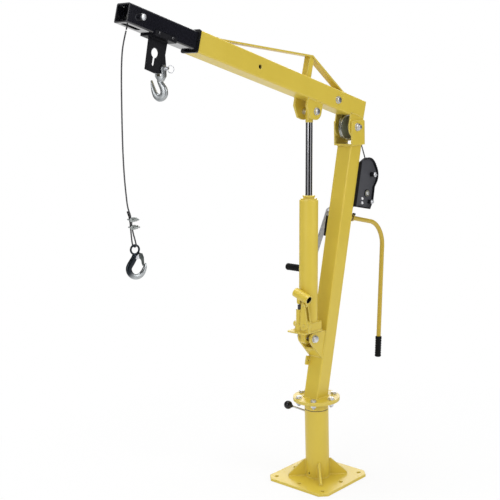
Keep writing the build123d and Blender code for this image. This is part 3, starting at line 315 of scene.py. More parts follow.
def plain_mesh(holder):
    """The mesh that an object's curve or modifiers make; the object itself goes."""
    made = bpy.data.meshes.new_from_object(holder.evaluated_get(bpy.context.evaluated_depsgraph_get()))
    bpy.data.objects.remove(holder)
    return made


def run_tree(tree, mesh, sizes):
    """The plain mesh that a tree makes from a mesh, with its named inputs set."""
    holder = placed("holder", mesh)
    step = holder.modifiers.new("tree", "NODES")
    step.node_group = tree
    for socket in tree.interface.items_tree:
        if socket.in_out == "INPUT" and socket.name in sizes:
            step[socket.identifier] = sizes[socket.name]
    return plain_mesh(holder)


weld_ripple = 0.0045
weld_tree, weld_in = new_tree("weld", {"Radius": "Float", "Ripple": "Float"})
fine_seam = fine_line(weld_tree, weld_in["Geometry"], reckon(weld_tree, "DIVIDE", weld_in["Ripple"], 5.0))
swing = reckon(weld_tree, "SINE", phase(weld_tree, weld_in["Ripple"]))
wander = grow(weld_tree, "ShaderNodeTexNoise", {"Scale": 90.0, "Detail": 1.0})
swell = reckon(weld_tree, "ADD", reckon(weld_tree, "MULTIPLY_ADD", swing, 0.13, wander), 0.5)
bead_scale = reckon(weld_tree, "MULTIPLY", swell, weld_in["Radius"])
bead_section = grow(weld_tree, "GeometryNodeCurvePrimitiveCircle", {"Resolution": 8, "Radius": 1.0})
end_tree(weld_tree, swept(weld_tree, fine_seam, bead_section, Scale=bead_scale), weld_in["Finish"])


def seat(name, mesh, finish, body, slot, *nodes):
    """A finished piece on its body, in place of the CAD nodes that it shows."""
    mesh.materials.clear()
    mesh.materials.append(finish)
    piece = placed(name, mesh)
    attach(piece, body)
    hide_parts(*nodes)
    return piece


def weld(name, seams, finish, body, slot, radius):
    """Rippled weld beads along seams, each a list of points, on a body."""
    points = []
    edges = []
    for line in seams:
        edges += [(len(points) + k, len(points) + k + 1) for k in range(len(line) - 1)]
        points += line
    sizes = {"Radius": radius, "Ripple": weld_ripple, "Finish": finish}
    seat(name, run_tree(weld_tree, mesh_of("seams", points, edges, []), sizes), finish, body, slot)


def arc(height, radius, start, end, steps):
    """Points on a level arc between two bearings in degrees."""
    return [polar(radius, turn, height) for turn in sweep(start, end, steps)]


dress(yellow_paint, "base_plate", "pedestal_tube", "base_gussets")
straight_up = Vector((0, 0, 1))
plate_top = 0.010
pedestal_radius = 0.0445
gusset_half = 0.004
gusset_foot = 0.109
gusset_top = 0.068
gusset_clear = 7
base_seams = []
for corner in (45, 135, 225, 315):
    base_seams.append(arc(plate_top, pedestal_radius, corner + gusset_clear, corner + 90 - gusset_clear, 20))
    outward = polar(1, math.radians(corner))
    for side in (-1, 1):
        edge = straight_up.cross(outward) * gusset_half * side + straight_up * plate_top
        root = edge + outward * pedestal_radius
        base_seams.append([root, edge + outward * gusset_foot])
        base_seams.append([root, root + straight_up * (gusset_top - plate_top)])
weld("base_welds", base_seams, yellow_paint, "base", "yellow_paint", radius=0.003)


# Swivel: the spindle turns in two dark bushes inside the pedestal, and a thrust ring carries the collar.
# The zinc lock pin slopes down into the spindle's holes and is pulled by its turned black ball knob.
def plated_steel(name, colour, dark, roughness, grain):
    """Plated or bare steel: faint spangle, patchy gloss and rounded edges."""
    material, tree, spot = new_finish(name)
    spangle = grow(tree, "ShaderNodeTexVoronoi", {"Vector": spot, "Scale": grain})
    patches = noise(tree, spot, scale=60.0, detail=4.0)
    crystal = grow(tree, "ShaderNodeSeparateColor", {0: spangle.outputs["Color"]})
    tone = blended(tree, reckon(tree, "MULTIPLY", crystal, patches), colour, dark)
    gloss = ranged(tree, patches, (0, 1), (roughness - 0.08, roughness + 0.12))
    rounded = grow(tree, "ShaderNodeBevel", {"Radius": 0.0006}, samples=4)
    dents = relief(tree, patches, 0.12, Normal=rounded)
    surface(tree, {"Base Color": tone, "Roughness": gloss, "Normal": dents, "Metallic": 1.0})
    return material


def moulded(name, colour, pale, roughness, grain, shine):
    """Moulded plastic or rubber: fine grain, faint handling marks."""
    material, tree, spot = new_finish(name)
    smears = noise(tree, spot, scale=35.0, detail=5.0)
    pores = noise(tree, spot, scale=grain, detail=2.0)
    tone = blended(tree, smears, colour, pale)
    gloss = ranged(tree, smears, (0, 1), (roughness - 0.08, roughness + 0.1))
    bump = relief(tree, pores, 0.25)
    surface(tree, {"Base Color": tone, "Roughness": gloss, "Normal": bump, "Specular IOR Level": shine})
    return material


def skin(rings, around=False, shell=None):
    """A shell of faces between rings; the two ends are closed, or joined when the rings go all round."""
    if shell is None:
        shell = bmesh.new()
    rows = [[shell.verts.new(point) for point in ring] for ring in rings]
    pairs = list(zip(rows, rows[1:]))
    if around:
        pairs.append((rows[-1], rows[0]))
    else:
        shell.faces.new(rows[0])
        shell.faces.new(rows[-1])
    for near, far in pairs:
        for k in range(len(near)):
            shell.faces.new((near[k - 1], near[k], far[k], far[k - 1]))
    return shell


def circle(steps):
    """Angles in even steps all round."""
    return sweep(0, 360, steps)[:-1]


def turned(place, profile, steps=32, around=False, shell=None):
    """A turned solid from pairs of radius and height round the place's z axis; a ring when they go round."""
    rings = [[place @ polar(radius, turn, height) for turn in circle(steps)] for radius, height in profile]
    return skin(rings, around, shell)


def as_mesh(name, shell, crease=35):
    """The finished mesh of a shell: faces outward, smooth except at edges sharper than the crease."""
    bmesh.ops.recalc_face_normals(shell, faces=shell.faces)
    mesh = bpy.data.meshes.new(name)
    shell.to_mesh(mesh)
    shell.free()
    mesh.shade_smooth()
    mesh.set_sharp_from_angle(angle=math.radians(crease))
    return mesh


def seat_shell(name, shell, finish, body, slot, *nodes):
    """A shell as a finished piece on its body."""
    return seat(name, as_mesh(name, shell), finish, body, slot, *nodes)


def lathe_place(point, way):
    """Frame on a point whose z axis runs along a direction."""
    return Matrix.Translation(point) @ Vector(way).to_track_quat("Z", "Y").to_matrix().to_4x4()


zinc = plated_steel("zinc", (0.76, 0.77, 0.80, 1), (0.50, 0.51, 0.54, 1), roughness=0.40, grain=140)
machined_steel = plated_steel("machined_steel", (0.50, 0.50, 0.51, 1), (0.36, 0.36, 0.37, 1), roughness=0.25,
                              grain=300)
dull_steel = plated_steel("dull_steel", (0.46, 0.45, 0.37, 1), (0.24, 0.23, 0.18, 1), roughness=0.42,
                          grain=200)
dark_bronze_and_shade = plated_steel("dark_bronze_and_shade", (0.16, 0.11, 0.06, 1), (0.09, 0.06, 0.035, 1), roughness=0.40,
                           grain=200)
black_plastic = moulded("black_plastic", (0.006, 0.006, 0.007, 1), (0.010, 0.010, 0.011, 1), roughness=0.25,
                        grain=700, shine=0.36)
rubber = moulded("rubber", (0.005, 0.005, 0.005, 1), (0.009, 0.009, 0.009, 1), roughness=0.5, grain=900,
                 shine=0.10)
matt_black = moulded("matt_black", (0.006, 0.006, 0.008, 1), (0.011, 0.011, 0.014, 1), roughness=0.42,
                     grain=500, shine=0.14)
dress(machined_steel, "swivel_spindle")
dress(dark_bronze_and_shade, "swivel_bushes")
dress(zinc, "lock_pin")
joints = {joint["name"]: joint for joint in frame["joints"]}
knob_box = [Vector(corner) for corner in frame["nodes"]["lock_pin_knob"].bound_box]
knob_middle = sum(knob_box, Vector()) / len(knob_box)
knob_place = lathe_place(knob_middle, joints["lock_pin_pull"]["axis"])
ball_radius = 0.016
knob_profile = [(0.0045, -0.0180), (0.0052, -0.0176), (0.0056, -0.0150)]
knob_profile += [(ball_radius * math.cos(lift), ball_radius * math.sin(lift)) for lift in sweep(-68, 84, 19)]
knob_profile.append((0.0008, ball_radius))
knob_shell = turned(knob_place, knob_profile, steps=40)
seat_shell("lock_knob_ball", knob_shell, black_plastic, "lock_pin", "black_plastic", "lock_pin_knob")


# Flange joint: the collar's disc and the mast's flange, yellow, clamped by six zinc M12 bolts
# with washers and nuts; each bolt is one turned and milled shape copied to the bolt circle.
def chamfered(radius, low, high, chamfer):
    """Profile of a short turned piece with chamfered edges."""
    edge = radius - chamfer
    return [(edge, low), (radius, low + chamfer), (radius, high - chamfer), (edge, high)]


def hexed(place, flats, low, high, shell):
    """A hexagon from low to high with its corners turned off at the high end."""
    corner = flats / math.sqrt(3)
    face = 0.96 * flats / 2
    drop = math.copysign((corner - face) * math.tan(math.radians(30)), high - low)
    shares = [k / 4 for k in range(5)]
    levels = [(low, corner)] + [(high - drop * (1 - k), corner + (face - corner) * k) for k in shares]
    rings = []
    for height, limit in levels:
        ring = []
        for turn in circle(36):
            off_flat = (turn + math.pi / 6) % (math.pi / 3) - math.pi / 6
            reach = min(flats / 2 / math.cos(off_flat), limit)
            ring.append(place @ polar(reach, turn, height))
        rings.append(ring)
    skin(rings, shell=shell)


def threaded(place, radius, low, high, shell):
    """Screw thread as a stack of ridges, with a lead-in at the low end."""
    pitch = radius * 0.26
    core = radius * 0.86
    profile = [(radius * 0.78, low)]
    for k in range(round((high - low) / pitch)):
        profile += [(core, low + (k + 0.3) * pitch), (radius, low + (k + 0.8) * pitch)]
    profile.append((core, high))
    turned(place, profile, steps=20, shell=shell)


def bolt_shape(radius, flats, head, grip, nut, tail):
    """Bolt from its seat: washer and head above, shank through the grip, washer, nut and thread below."""
    flat = Matrix()
    washer = 0.09 * flats
    brim = 0.62 * flats
    chamfer = 0.0004
    shell = turned(flat, chamfered(brim, 0, washer, chamfer))
    hexed(flat, flats, washer, head, shell)
    turned(flat, [(radius, -grip), (radius, 0)], steps=20, shell=shell)
    turned(flat, chamfered(brim, -grip - washer, -grip, chamfer), shell=shell)
    hexed(flat, flats, -grip - washer, -grip - nut, shell)
    threaded(flat, radius, -grip - nut - tail, -grip - nut, shell)
    return as_mesh("bolt", shell)


fastener_tree, fastener_in = new_tree("fasteners", {"Pattern": "Object"})
way_out = grow(fastener_tree, "GeometryNodeInputNamedAttribute", {"Name": "way"}, data_type="FLOAT_VECTOR")
facing_out = grow(fastener_tree, "FunctionNodeAlignRotationToVector", {"Vector": way_out}, axis="Z")
pattern_shape = grow(fastener_tree, "GeometryNodeObjectInfo", {"Object": fastener_in["Pattern"]})
copies = grow(fastener_tree, "GeometryNodeInstanceOnPoints",
              {"Points": fastener_in["Geometry"], "Instance": pattern_shape.outputs["Geometry"],
               "Rotation": facing_out})
end_tree(fastener_tree, copies, fastener_in["Finish"])


def fasten(shape, spots, finish):
    """Copies of one shape on spots, each a point and its way out."""
    cloud = mesh_of("spots", [point for point, way in spots], [], [])
    ways = cloud.attributes.new("way", "FLOAT_VECTOR", "POINT")
    for item, (point, way) in zip(ways.data, spots):
        item.vector = way
    pattern = placed("pattern", shape)
    made = run_tree(fastener_tree, cloud, {"Pattern": pattern, "Finish": finish})
    bpy.data.objects.remove(pattern)
    return made


dress(yellow_paint, "swivel_collar", "mast_flange")
flange_top = 0.321
disc_under = 0.309
bolt_circle = 0.0695
flange_spots = [(point, straight_up) for point in arc(flange_top, bolt_circle, 30, 330, 5)]
flange_bolt = bolt_shape(radius=0.006, flats=0.019, head=0.0075, grip=0.012, nut=0.010, tail=0.007)
seat("flange_bolt_set", fasten(flange_bolt, flange_spots, zinc), zinc, "mast", "zinc", "flange_bolts")
collar_seam = arc(disc_under, pedestal_radius, 0, 360, 72)


# Mast: a leaning square tube welded to the flange, with a yoke on top, the jack's folded bracket at the front
# and a small tab; all yellow. Two zinc M16 bolts are the boom's pivot and the jack's lower pin.
def side_frame(origin, slope):
    """Frame of a leaning member: x rises at a slope in degrees and y stays the crane's own."""
    return Matrix.Translation(origin) @ spun(-slope, "Y")


mast_lean = 13.76
mast_foot = 0.0025
mast_half = 0.0325
mast_frame = side_frame((mast_foot, 0, flange_top), mast_lean)
level_half = mast_half / math.cos(math.radians(mast_lean))
closed_square = ((-1, -1), (1, -1), (1, 1), (-1, 1), (-1, -1))


def on_mast(a, s, y=0.0):
    """Point in front of, along and beside the mast's foot."""
    return mast_frame @ Vector((a, y, s))


def tube_seam(height):
    """Level seam round the mast tube at a height."""
    middle = mast_foot - (height - flange_top) * math.tan(math.radians(mast_lean))
    return [Vector((middle + x * level_half, y * mast_half, height)) for x, y in closed_square]


def bolt(middle, way, out, finish, **sizes):
    """A bolt through two walls, its head on the outer face of one of them."""
    return fasten(bolt_shape(grip=2 * out, **sizes), [(middle + way * out, way)], finish)


def joined(name, *meshes):
    """One mesh from several."""
    shell = bmesh.new()
    for mesh in meshes:
        shell.from_mesh(mesh)
    whole = bpy.data.meshes.new(name)
    shell.to_mesh(whole)
    shell.free()
    return whole


dress(yellow_paint, "mast_tube", "mast_head", "jack_bracket", "mast_tab")
boom_pivot = Vector(joints["boom_lift"]["pos_m"])
jack_pin = Vector((0.0417, 0, 0.5548))
yoke_under = 1.240
bracket_half = 0.030
bracket_faces = (-bracket_half, bracket_half)
bracket_ends = (0.149, 0.250)
tab_faces = (-0.030, -0.024)
tab_ends = (0.113, 0.147)
mast_seams = [collar_seam, tube_seam(flange_top), tube_seam(yoke_under)]
for faces, ends in ((bracket_faces, bracket_ends), (tab_faces, tab_ends)):
    mast_seams += [[on_mast(mast_half, s, y) for s in ends] for y in faces]
mast_seams.append([on_mast(mast_half, bracket_ends[0], y) for y in bracket_faces])
weld("mast_welds", mast_seams, yellow_paint, "mast", "yellow_paint", radius=0.0028)
yoke_out = 0.042
far_side = Vector((0, -1, 0))
near_side = Vector((0, 1, 0))
pin_sizes = {"radius": 0.008, "flats": 0.024, "head": 0.010, "nut": 0.009, "tail": 0.008}
boom_bolt = bolt(boom_pivot, far_side, yoke_out, zinc, **pin_sizes)
jack_bolt = bolt(jack_pin, near_side, bracket_half, zinc, **pin_sizes)
seat("mast_bolt_set", joined("mast_bolt_set", boom_bolt, jack_bolt), zinc, "mast", "zinc", "mast_pivot_bolts")


# Head pulley: a turned sheave with a thin dished web and a long hub, olive-grey, spinning on the boom's
# pivot bolt. Its rim and groove are pale steel, brightened as painted light on a sheave in the yoke's shade.
def mirrored(half):
    """A profile from its half above zero height."""
    return [(radius, -height) for radius, height in reversed(half)] + half


# Pulley steel, paler than its own tone: painted light for pulleys that sit in shade.
pulley_steel = plated_steel("pulley_steel", (0.66, 0.67, 0.64, 1), (0.46, 0.47, 0.42, 1), roughness=0.24,
                            grain=200)
web_grey = gloss_paint("web_grey", (0.20, 0.215, 0.155, 1), (0.12, 0.13, 0.095, 1), (0.32, 0.34, 0.28, 1),
                       roughness=0.3, peel=0.2)
pulley_place = lathe_place(boom_pivot, near_side)
web_half = [(0.0425, 0.0040), (0.0400, 0.0046), (0.0230, 0.0046), (0.0150, 0.0090), (0.0150, 0.0280),
            (0.0142, 0.0290), (0.0086, 0.0290)]
web_shell = turned(pulley_place, mirrored(web_half), steps=64, around=True)
seat_shell("pulley_web", web_shell, web_grey, "head_pulley", "pulley_steel", "head_pulley")
# The rim and groove in that pale steel: painted highlight on a sheave in the yoke's shade.
rim_half = [(0.0431, 0.0010), (0.0445, 0.0024), (0.0500, 0.0040), (0.0510, 0.0043), (0.0510, 0.0050),
            (0.0503, 0.0056), (0.0455, 0.0056), (0.0424, 0.0042)]
pulley_rim = turned(pulley_place, mirrored(rim_half), steps=64, around=True)
seat_shell("pulley_rim", pulley_rim, pulley_steel, "head_pulley", "pulley_steel")


# Winch frame: a pressed sheet channel in dark grey enamel on four M8 bolts; its turned-out rims and an edge
# strip are matt black, painted shade.
# Its drum axle and tie bolt stand out on black spacers; the pinion's shaft ends in a plain bush, ringed in
# matt black as its painted shadow.
def arc_through(first, mid, last, steps):
    """Points of the arc through three points of a plane, from the first to the last."""
    (ax, ay), (bx, by), (cx, cy) = first, mid, last
    square = [x * x + y * y for x, y in (first, mid, last)]
    twice = 2 * (ax * (by - cy) + bx * (cy - ay) + cx * (ay - by))
    x = (square[0] * (by - cy) + square[1] * (cy - ay) + square[2] * (ay - by)) / twice
    y = (square[0] * (cx - bx) + square[1] * (ax - cx) + square[2] * (bx - ax)) / twice
    start = math.atan2(ay - y, ax - x)
    turn = math.remainder(math.atan2(cy - y, cx - x) - start, 2 * math.pi)
    reach = math.hypot(ax - x, ay - y)
    turns = [start + turn * k / steps for k in range(steps + 1)]
    return [(x + reach * math.cos(t), y + reach * math.sin(t)) for t in turns]


def flat_plate(place, outline, low, high, shell):
    """A plate of an xz outline between two depths."""
    skin([[place @ Vector((x, y, z)) for x, z in outline] for y in (low, high)], shell=shell)


def aside_at(line, k):
    """Direction square to a line of xz points at one of them."""
    before = line[max(k - 1, 0)]
    after = line[min(k + 1, len(line) - 1)]
    return Vector((before[1] - after[1], 0, after[0] - before[0])).normalized()


winch_grey = gloss_paint("winch_grey", (0.075, 0.076, 0.085, 1), (0.058, 0.059, 0.068, 1),
                         (0.14, 0.14, 0.15, 1), roughness=0.32, peel=0.15)
black_paint = gloss_paint("black_paint", (0.010, 0.010, 0.015, 1), (0.008, 0.008, 0.012, 1),
                          (0.018, 0.018, 0.024, 1), roughness=0.16, peel=0.02, coat=0.8)
bright_zinc = plated_steel("bright_zinc", (0.95, 0.95, 0.96, 1), (0.84, 0.84, 0.86, 1), roughness=0.72,
                           grain=140)
dress(winch_grey, "winch_frame")
mount_bolt = bolt_shape(radius=0.004, flats=0.013, head=0.0053, grip=0.0085, nut=0.006, tail=0.004)
mast_back = -(mast_frame.to_3x3() @ Vector((1, 0, 0)))
winch_back = 0.0035
mount_half = 0.018
mount_spots = []
for y in (-mount_half, mount_half):
    mount_spots += [(on_mast(-mast_half - winch_back, s, y), mast_back) for s in (0.740, 0.876)]
seat("winch_bolt_set", fasten(mount_bolt, mount_spots, zinc), zinc, "mast", "zinc", "winch_mount_bolts")
cheek_out = 0.038
rim_out = 0.0465
rim_half_wide = 0.0022
rim_lip = 0.001
rim_section = ((-1, cheek_out - rim_lip), (-1, rim_out - rim_lip), (-0.5, rim_out), (0.5, rim_out),
               (1, rim_out - rim_lip), (1, cheek_out - rim_lip))
rim_line = [(-0.050, 0.722), (-0.1205, 0.7237), (-0.1322, 0.7582), (-0.1302, 0.8083)]
rim_line += arc_through((-0.1403, 0.8285), (-0.1422, 0.860), (-0.1228, 0.8867), 10)
rim_line += arc_through((-0.1228, 0.8867), (-0.080, 0.9102), (-0.050, 0.9004), 12)[1:]
strip_outline = [(-0.0318, 0.7195), (-0.0385, 0.7195), (-0.0385, 0.8940), (-0.0318, 0.889)]
strip_in = 0.0330
strip_out = 0.0400
# Matt black beads along the turned-out rims and a flat strip along the mast: painted shade on the sheet's
# edges.
rim_shade_shell = bmesh.new()
for side in (-1, 1):
    rings = []
    for k, (a, s) in enumerate(rim_line):
        aside = aside_at(rim_line, k) * rim_half_wide
        rings.append([mast_frame @ (Vector((a, y * side, s)) + aside * x) for x, y in rim_section])
    skin(rings, shell=rim_shade_shell)
    flat_plate(mast_frame, strip_outline, strip_in * side, strip_out * side, rim_shade_shell)
seat_shell("winch_rims", rim_shade_shell, matt_black, "mast", "black_paint")
drum_axis = (-0.107, 0.8525)
tie_axis = (-0.115, 0.749)
pinion_axis = (-0.09449, 0.77855)
cheek_gap = 2 * cheek_out
axle_flats = 0.017
axle_head = 0.007
axle_shell = bmesh.new()
spacer_and_shade_shell = bmesh.new()
for axis, spacer, thick in ((drum_axis, 0.017, 0.0085), (tie_axis, 0.014, 0.0078)):
    place = lathe_place(on_mast(*axis, cheek_out), near_side)
    tip = spacer + 0.007
    brim = thick + 0.0008
    axle = [(0.007, -cheek_gap - 0.009), (0.007, tip - 0.0065), (brim, tip - 0.0062), (brim, tip - 0.0025),
            (thick - 0.0015, tip - 0.0006), (0.0035, tip), (0.0022, tip - 0.0008)]
    turned(place, axle, shell=axle_shell)
    hexed(place, axle_flats, -cheek_gap, -cheek_gap - axle_head, axle_shell)
    turned(place, chamfered(thick, 0, spacer, 0.001), shell=spacer_and_shade_shell)
bush_place = lathe_place(on_mast(*pinion_axis, cheek_out), near_side)
bush_loop = [(0.0066, 0), (0.0122, 0), (0.0122, 0.004), (0.0112, 0.005), (0.0086, 0.005), (0.0066, 0.0038)]
bush_shell = turned(bush_place, bush_loop, steps=36, around=True)
seat_shell("pinion_bush", bush_shell, dull_steel, "mast", "zinc")
# A matt black ring round the bush: painted shadow of the bush on the cheek.
turned(bush_place, [(0.0138, 0), (0.0145, 0.0006), (0.0145, 0.0026), (0.0136, 0.0032)], shell=spacer_and_shade_shell)
turned(bush_place, [(0.0065, 0), (0.0065, 0.0056), (0.0050, 0.0068), (0.0020, 0.0072)], shell=axle_shell)
rivet_wide = 0.0060
rivet_tall = 0.0046
rivet_half = [(0.0049, cheek_out)]
for k in range(7):
    turn = k * math.pi / 14
    rivet_half.append((rivet_wide * math.cos(turn), cheek_out + rivet_tall * math.sin(turn)))
rivet_shell = bmesh.new()
for rivet in ((-0.0725, 0.7555), (-0.075, 0.739)):
    turned(lathe_place(on_mast(*rivet), near_side), mirrored(rivet_half), steps=24, shell=rivet_shell)
seat_shell("winch_rivets", rivet_shell, bright_zinc, "mast", "zinc")
seat_shell("winch_axle_set", axle_shell, zinc, "mast", "zinc", "winch_axles")
seat_shell("winch_spacers", spacer_and_shade_shell, matt_black, "mast", "black_paint")


# Winch drum, its toothed gear and the pawl, of black-painted steel, and the zinc-plated crank arm.
# The grip is a moulded black sleeve with rings, turning on the crank's pin.
def ringed_grip(name, place, radius, length, rings):
    """A round hand grip with raised rings, rounded at both ends."""
    plain = 0.008
    groove = radius - 0.0012
    step = (length - 2 * plain) / rings
    profile = [(radius - 0.003, 0), (radius, 0.0025), (radius, plain)]
    for k in range(rings):
        low = plain + k * step
        profile += [(groove, low + 0.15 * step), (groove, low + 0.45 * step), (radius, low + 0.6 * step),
                    (radius, low + 0.95 * step)]
    profile += [(radius, length - 0.0035), (groove, length - 0.0012), (radius - 0.004, length)]
    return as_mesh(name, turned(place, profile, steps=40), crease=50)


dress(black_paint, "winch_drum", "drum_gear", "winch_pawl")
dress(zinc, "winch_crank")
crank_grip_place = lathe_place((-0.112, -0.120, 0.770), far_side)
crank_sleeve = ringed_grip("crank_sleeve", crank_grip_place, radius=0.0135, length=0.105, rings=9)
seat("crank_sleeve", crank_sleeve, rubber, "crank_grip", "rubber", "crank_grip")


# Turning handle: a bent yellow bar in a yellow socket on the mast's back, with a rubber grip on its end and
# a black knob on the bar beside the socket. The pad on the mast's far side is a plain rubber block.
# A darker copy of the yellow enamel for the handle and its socket: painted shade.
shaded_handle_paint = gloss_paint("handle_yellow_shaded", (0.56, 0.395, 0.040, 1), (0.50, 0.35, 0.032, 1),
                           (0.66, 0.52, 0.12, 1), roughness=0.34, peel=0.03)
dress(shaded_handle_paint, "turning_handle")
dress(rubber, "side_pad")
handle_end = Vector((-0.395, 0, 0.383))
handle_corner = Vector((-0.4346, 0, 0.9140))
handle_rise = (handle_corner - handle_end).normalized()
handle_reach = 0.251
socket_foot = handle_corner - mast_back * handle_reach
socket_place = lathe_place(socket_foot, mast_back)
socket_loop = [(0.0090, 0.001), (0.0130, 0.0005), (0.0130, 0.042), (0.0136, 0.043), (0.0136, 0.045),
               (0.0128, 0.046), (0.0090, 0.046)]
socket_shell = turned(socket_place, socket_loop, steps=40, around=True)
seat_shell("handle_collar", socket_shell, shaded_handle_paint, "mast", "yellow_paint", "handle_socket")
# A dark brown band round the socket: painted shade on the yellow.
shade_band_loop = [(0.0128, 0.0285), (0.0133, 0.0285), (0.0133, 0.0365), (0.0128, 0.0365)]
shade_band_shell = turned(socket_place, shade_band_loop, steps=40, around=True)
seat_shell("handle_seam", shade_band_shell, dark_bronze_and_shade, "mast", "yellow_paint")
lock_out = 0.0525
lock_place = lathe_place(socket_foot + mast_back * lock_out, mast_frame.to_3x3() @ straight_up)
lock_profile = [(0.0045, 0.0080), (0.0045, 0.0100), (0.0060, 0.0105), (0.0064, 0.0120), (0.0064, 0.0165),
                (0.0055, 0.0185), (0.0030, 0.0190)]
lock_shell = turned(lock_place, lock_profile, steps=28)
seat_shell("handle_lock_knob", lock_shell, black_plastic, "mast", "black_plastic")
grip_over = 0.003
handle_grip_place = lathe_place(handle_end - handle_rise * grip_over, handle_rise)
handle_sleeve = ringed_grip("handle_sleeve", handle_grip_place, radius=0.0125, length=0.084, rings=7)
seat("handle_sleeve", handle_sleeve, rubber, "mast", "rubber", "handle_grip")


# Boom: a square tube with rear lugs, the ram's lugs below and a strap over a post above, welded and yellow.
# The ram pin and the roller's bolt are zinc; the mouth collar and the hidden guide roller are black plastic.
boom_rise = 16.6
boom_frame = side_frame(boom_pivot, boom_rise)


def on_boom(u, n, y=0.0):
    """Point along, above and beside the boom's pivot."""
    return boom_frame @ Vector((u, y, n))


dress(yellow_paint, "boom_tube", "boom_lugs", "truss_strap", "truss_post", "ram_lugs")
dress(black_plastic, "boom_collar", "guide_roller")
boom_axis = 0.0713
boom_half = 0.035
boom_roof = boom_axis + boom_half
boom_under = boom_axis - boom_half
strap_half = 0.015
strap_ends = (0.062, 0.760)
post_middle = 0.284
post_half = 0.012
boom_seams = [[on_boom(u, boom_roof, y) for y in (-strap_half, strap_half)] for u in strap_ends]
boom_seams.append([on_boom(post_middle + x * post_half, boom_roof, y * post_half) for x, y in closed_square])
rear_lug = (-0.004, 0.040, 0.044, boom_half)
ram_lug_out = 0.032
ram_lug = (0.207, 0.292, boom_under, ram_lug_out)
strap_rear = (strap_ends[0], 0.080, boom_roof, strap_half)
strap_front = (0.742, strap_ends[1], boom_roof, strap_half)
for start, end, n, out in (rear_lug, ram_lug, strap_rear, strap_front):
    boom_seams += [[on_boom(u, n, y) for u in (start, end)] for y in (-out, out)]
weld("boom_welds", boom_seams, yellow_paint, "boom", "yellow_paint", radius=0.0026)
ram_axis = (0.237, 0.001)
roller_axis = (0.130, 0.069)
ram_bolt = bolt(on_boom(*ram_axis), near_side, ram_lug_out, zinc, radius=0.007, flats=0.022, head=0.009,
                nut=0.008, tail=0.005)
roller_bolt = bolt(on_boom(*roller_axis), near_side, boom_half, zinc, radius=0.006, flats=0.022, head=0.0085,
                   nut=0.008, tail=0.004)
ram_spacers = bmesh.new()
for side in (-1, 1):
    spacer_place = lathe_place(on_boom(*ram_axis), near_side * side)
    turned(spacer_place, chamfered(0.011, 0.014, 0.0238, 0.0005), shell=ram_spacers)
boom_bolt_set = joined("boom_bolt_set", ram_bolt, roller_bolt, as_mesh("ram_spacers", ram_spacers))
seat("boom_bolt_set", boom_bolt_set, zinc, "boom", "zinc", "boom_bolts")


# Extension: a black square tube that slides in the boom, with a folded hook bracket screwed under it.
# A small steel pulley on a black bolt turns the cable down through the slot in its front end.
dress(black_paint, "extension_tube")
dress(matt_black, "hook_bracket")
dress(pulley_steel, "front_pulley")
hook_plate_top = 0.0373
hook_plate_half = 0.003
hook_plate_ends = (0.949, 1.0215)
plate_seams = []
for y in (-hook_plate_half, hook_plate_half):
    plate_seams.append([on_boom(u, hook_plate_top, y) for u in hook_plate_ends])
weld("bracket_welds", plate_seams, matt_black, "extension", "black_paint", radius=0.0024)
tip_axis = (1.089, boom_axis)
tip_wall = 0.029
tip_place = lathe_place(on_boom(*tip_axis, tip_wall), near_side)
tip_bolt = bolt(on_boom(*tip_axis), near_side, tip_wall, black_paint, radius=0.005, flats=0.016, head=0.0064,
                nut=0.007, tail=0.003)
tip_spacer = as_mesh("tip_spacer", turned(tip_place, chamfered(0.0105, 0, 0.011, 0.001)))
tip_bolt_set = joined("tip_bolt_set", tip_bolt, tip_spacer)
seat("tip_bolt_set", tip_bolt_set, black_paint, "extension", "black_paint", "front_axle")
tip_cap = [(0.0085, 0.0105), (0.0092, 0.0115), (0.0092, 0.0140), (0.0078, 0.0150), (0.0030, 0.0152)]
seat_shell("tip_bolt_cap", turned(tip_place, tip_cap), zinc, "extension", "zinc")
screw_profile = [(0.0046, 0), (0.0046, 0.0012), (0.0038, 0.0025), (0.0022, 0.0030), (0.0016, 0.0030),
                 (0.0012, 0.0018)]
screw_shape = as_mesh("screw", turned(Matrix(), screw_profile, steps=24))
screw_level = 0.0478
screw_out = 0.033
screw_spots = []
for side in (-1, 1):
    screw_spots += [(on_boom(u, screw_level, screw_out * side), near_side * side) for u in (0.958, 1.012)]
screw_set = fasten(screw_shape, screw_spots, black_paint)
seat("screw_set", screw_set, black_paint, "extension", "black_paint", "bracket_screws")


# Hoist cable: six-strand wire rope of greased dark steel, wound on the drum, led over the head pulley and the
# guide roller along the boom, and again inside the extension over the front pulley.
rope_steel = plated_steel("rope_steel", (0.16, 0.16, 0.165, 1), (0.07, 0.07, 0.075, 1), roughness=0.42,
                          grain=400)
rope_radius = 0.0024
rope_lay = 0.030
rope_step = 0.0024
rope_tree, rope_in = new_tree("wire_rope", {"Radius": "Float", "Lay": "Float"})
rope_line = fine_line(rope_tree, rope_in["Geometry"], rope_step)
rope_level = grow(rope_tree, "GeometryNodeSetCurveNormal", {"Curve": rope_line}, mode="MINIMUM_TWIST")
rope_turn = phase(rope_tree, rope_in["Lay"])
rope_twist = grow(rope_tree, "GeometryNodeSetCurveTilt", {"Curve": rope_level, "Tilt": rope_turn})
strand_radius = reckon(rope_tree, "DIVIDE", rope_in["Radius"], 3.0)
strand_circle = reckon(rope_tree, "MULTIPLY", strand_radius, 2.0)
strand_spots = grow(rope_tree, "GeometryNodeCurvePrimitiveCircle", {"Resolution": 6, "Radius": strand_circle})
strand = grow(rope_tree, "GeometryNodeCurvePrimitiveCircle", {"Resolution": 7, "Radius": strand_radius})
strands = grow(rope_tree, "GeometryNodeInstanceOnPoints", {"Points": strand_spots, "Instance": strand})
strands_real = grow(rope_tree, "GeometryNodeRealizeInstances", {"Geometry": strands})
end_tree(rope_tree, swept(rope_tree, rope_twist, strands_real), rope_in["Finish"])


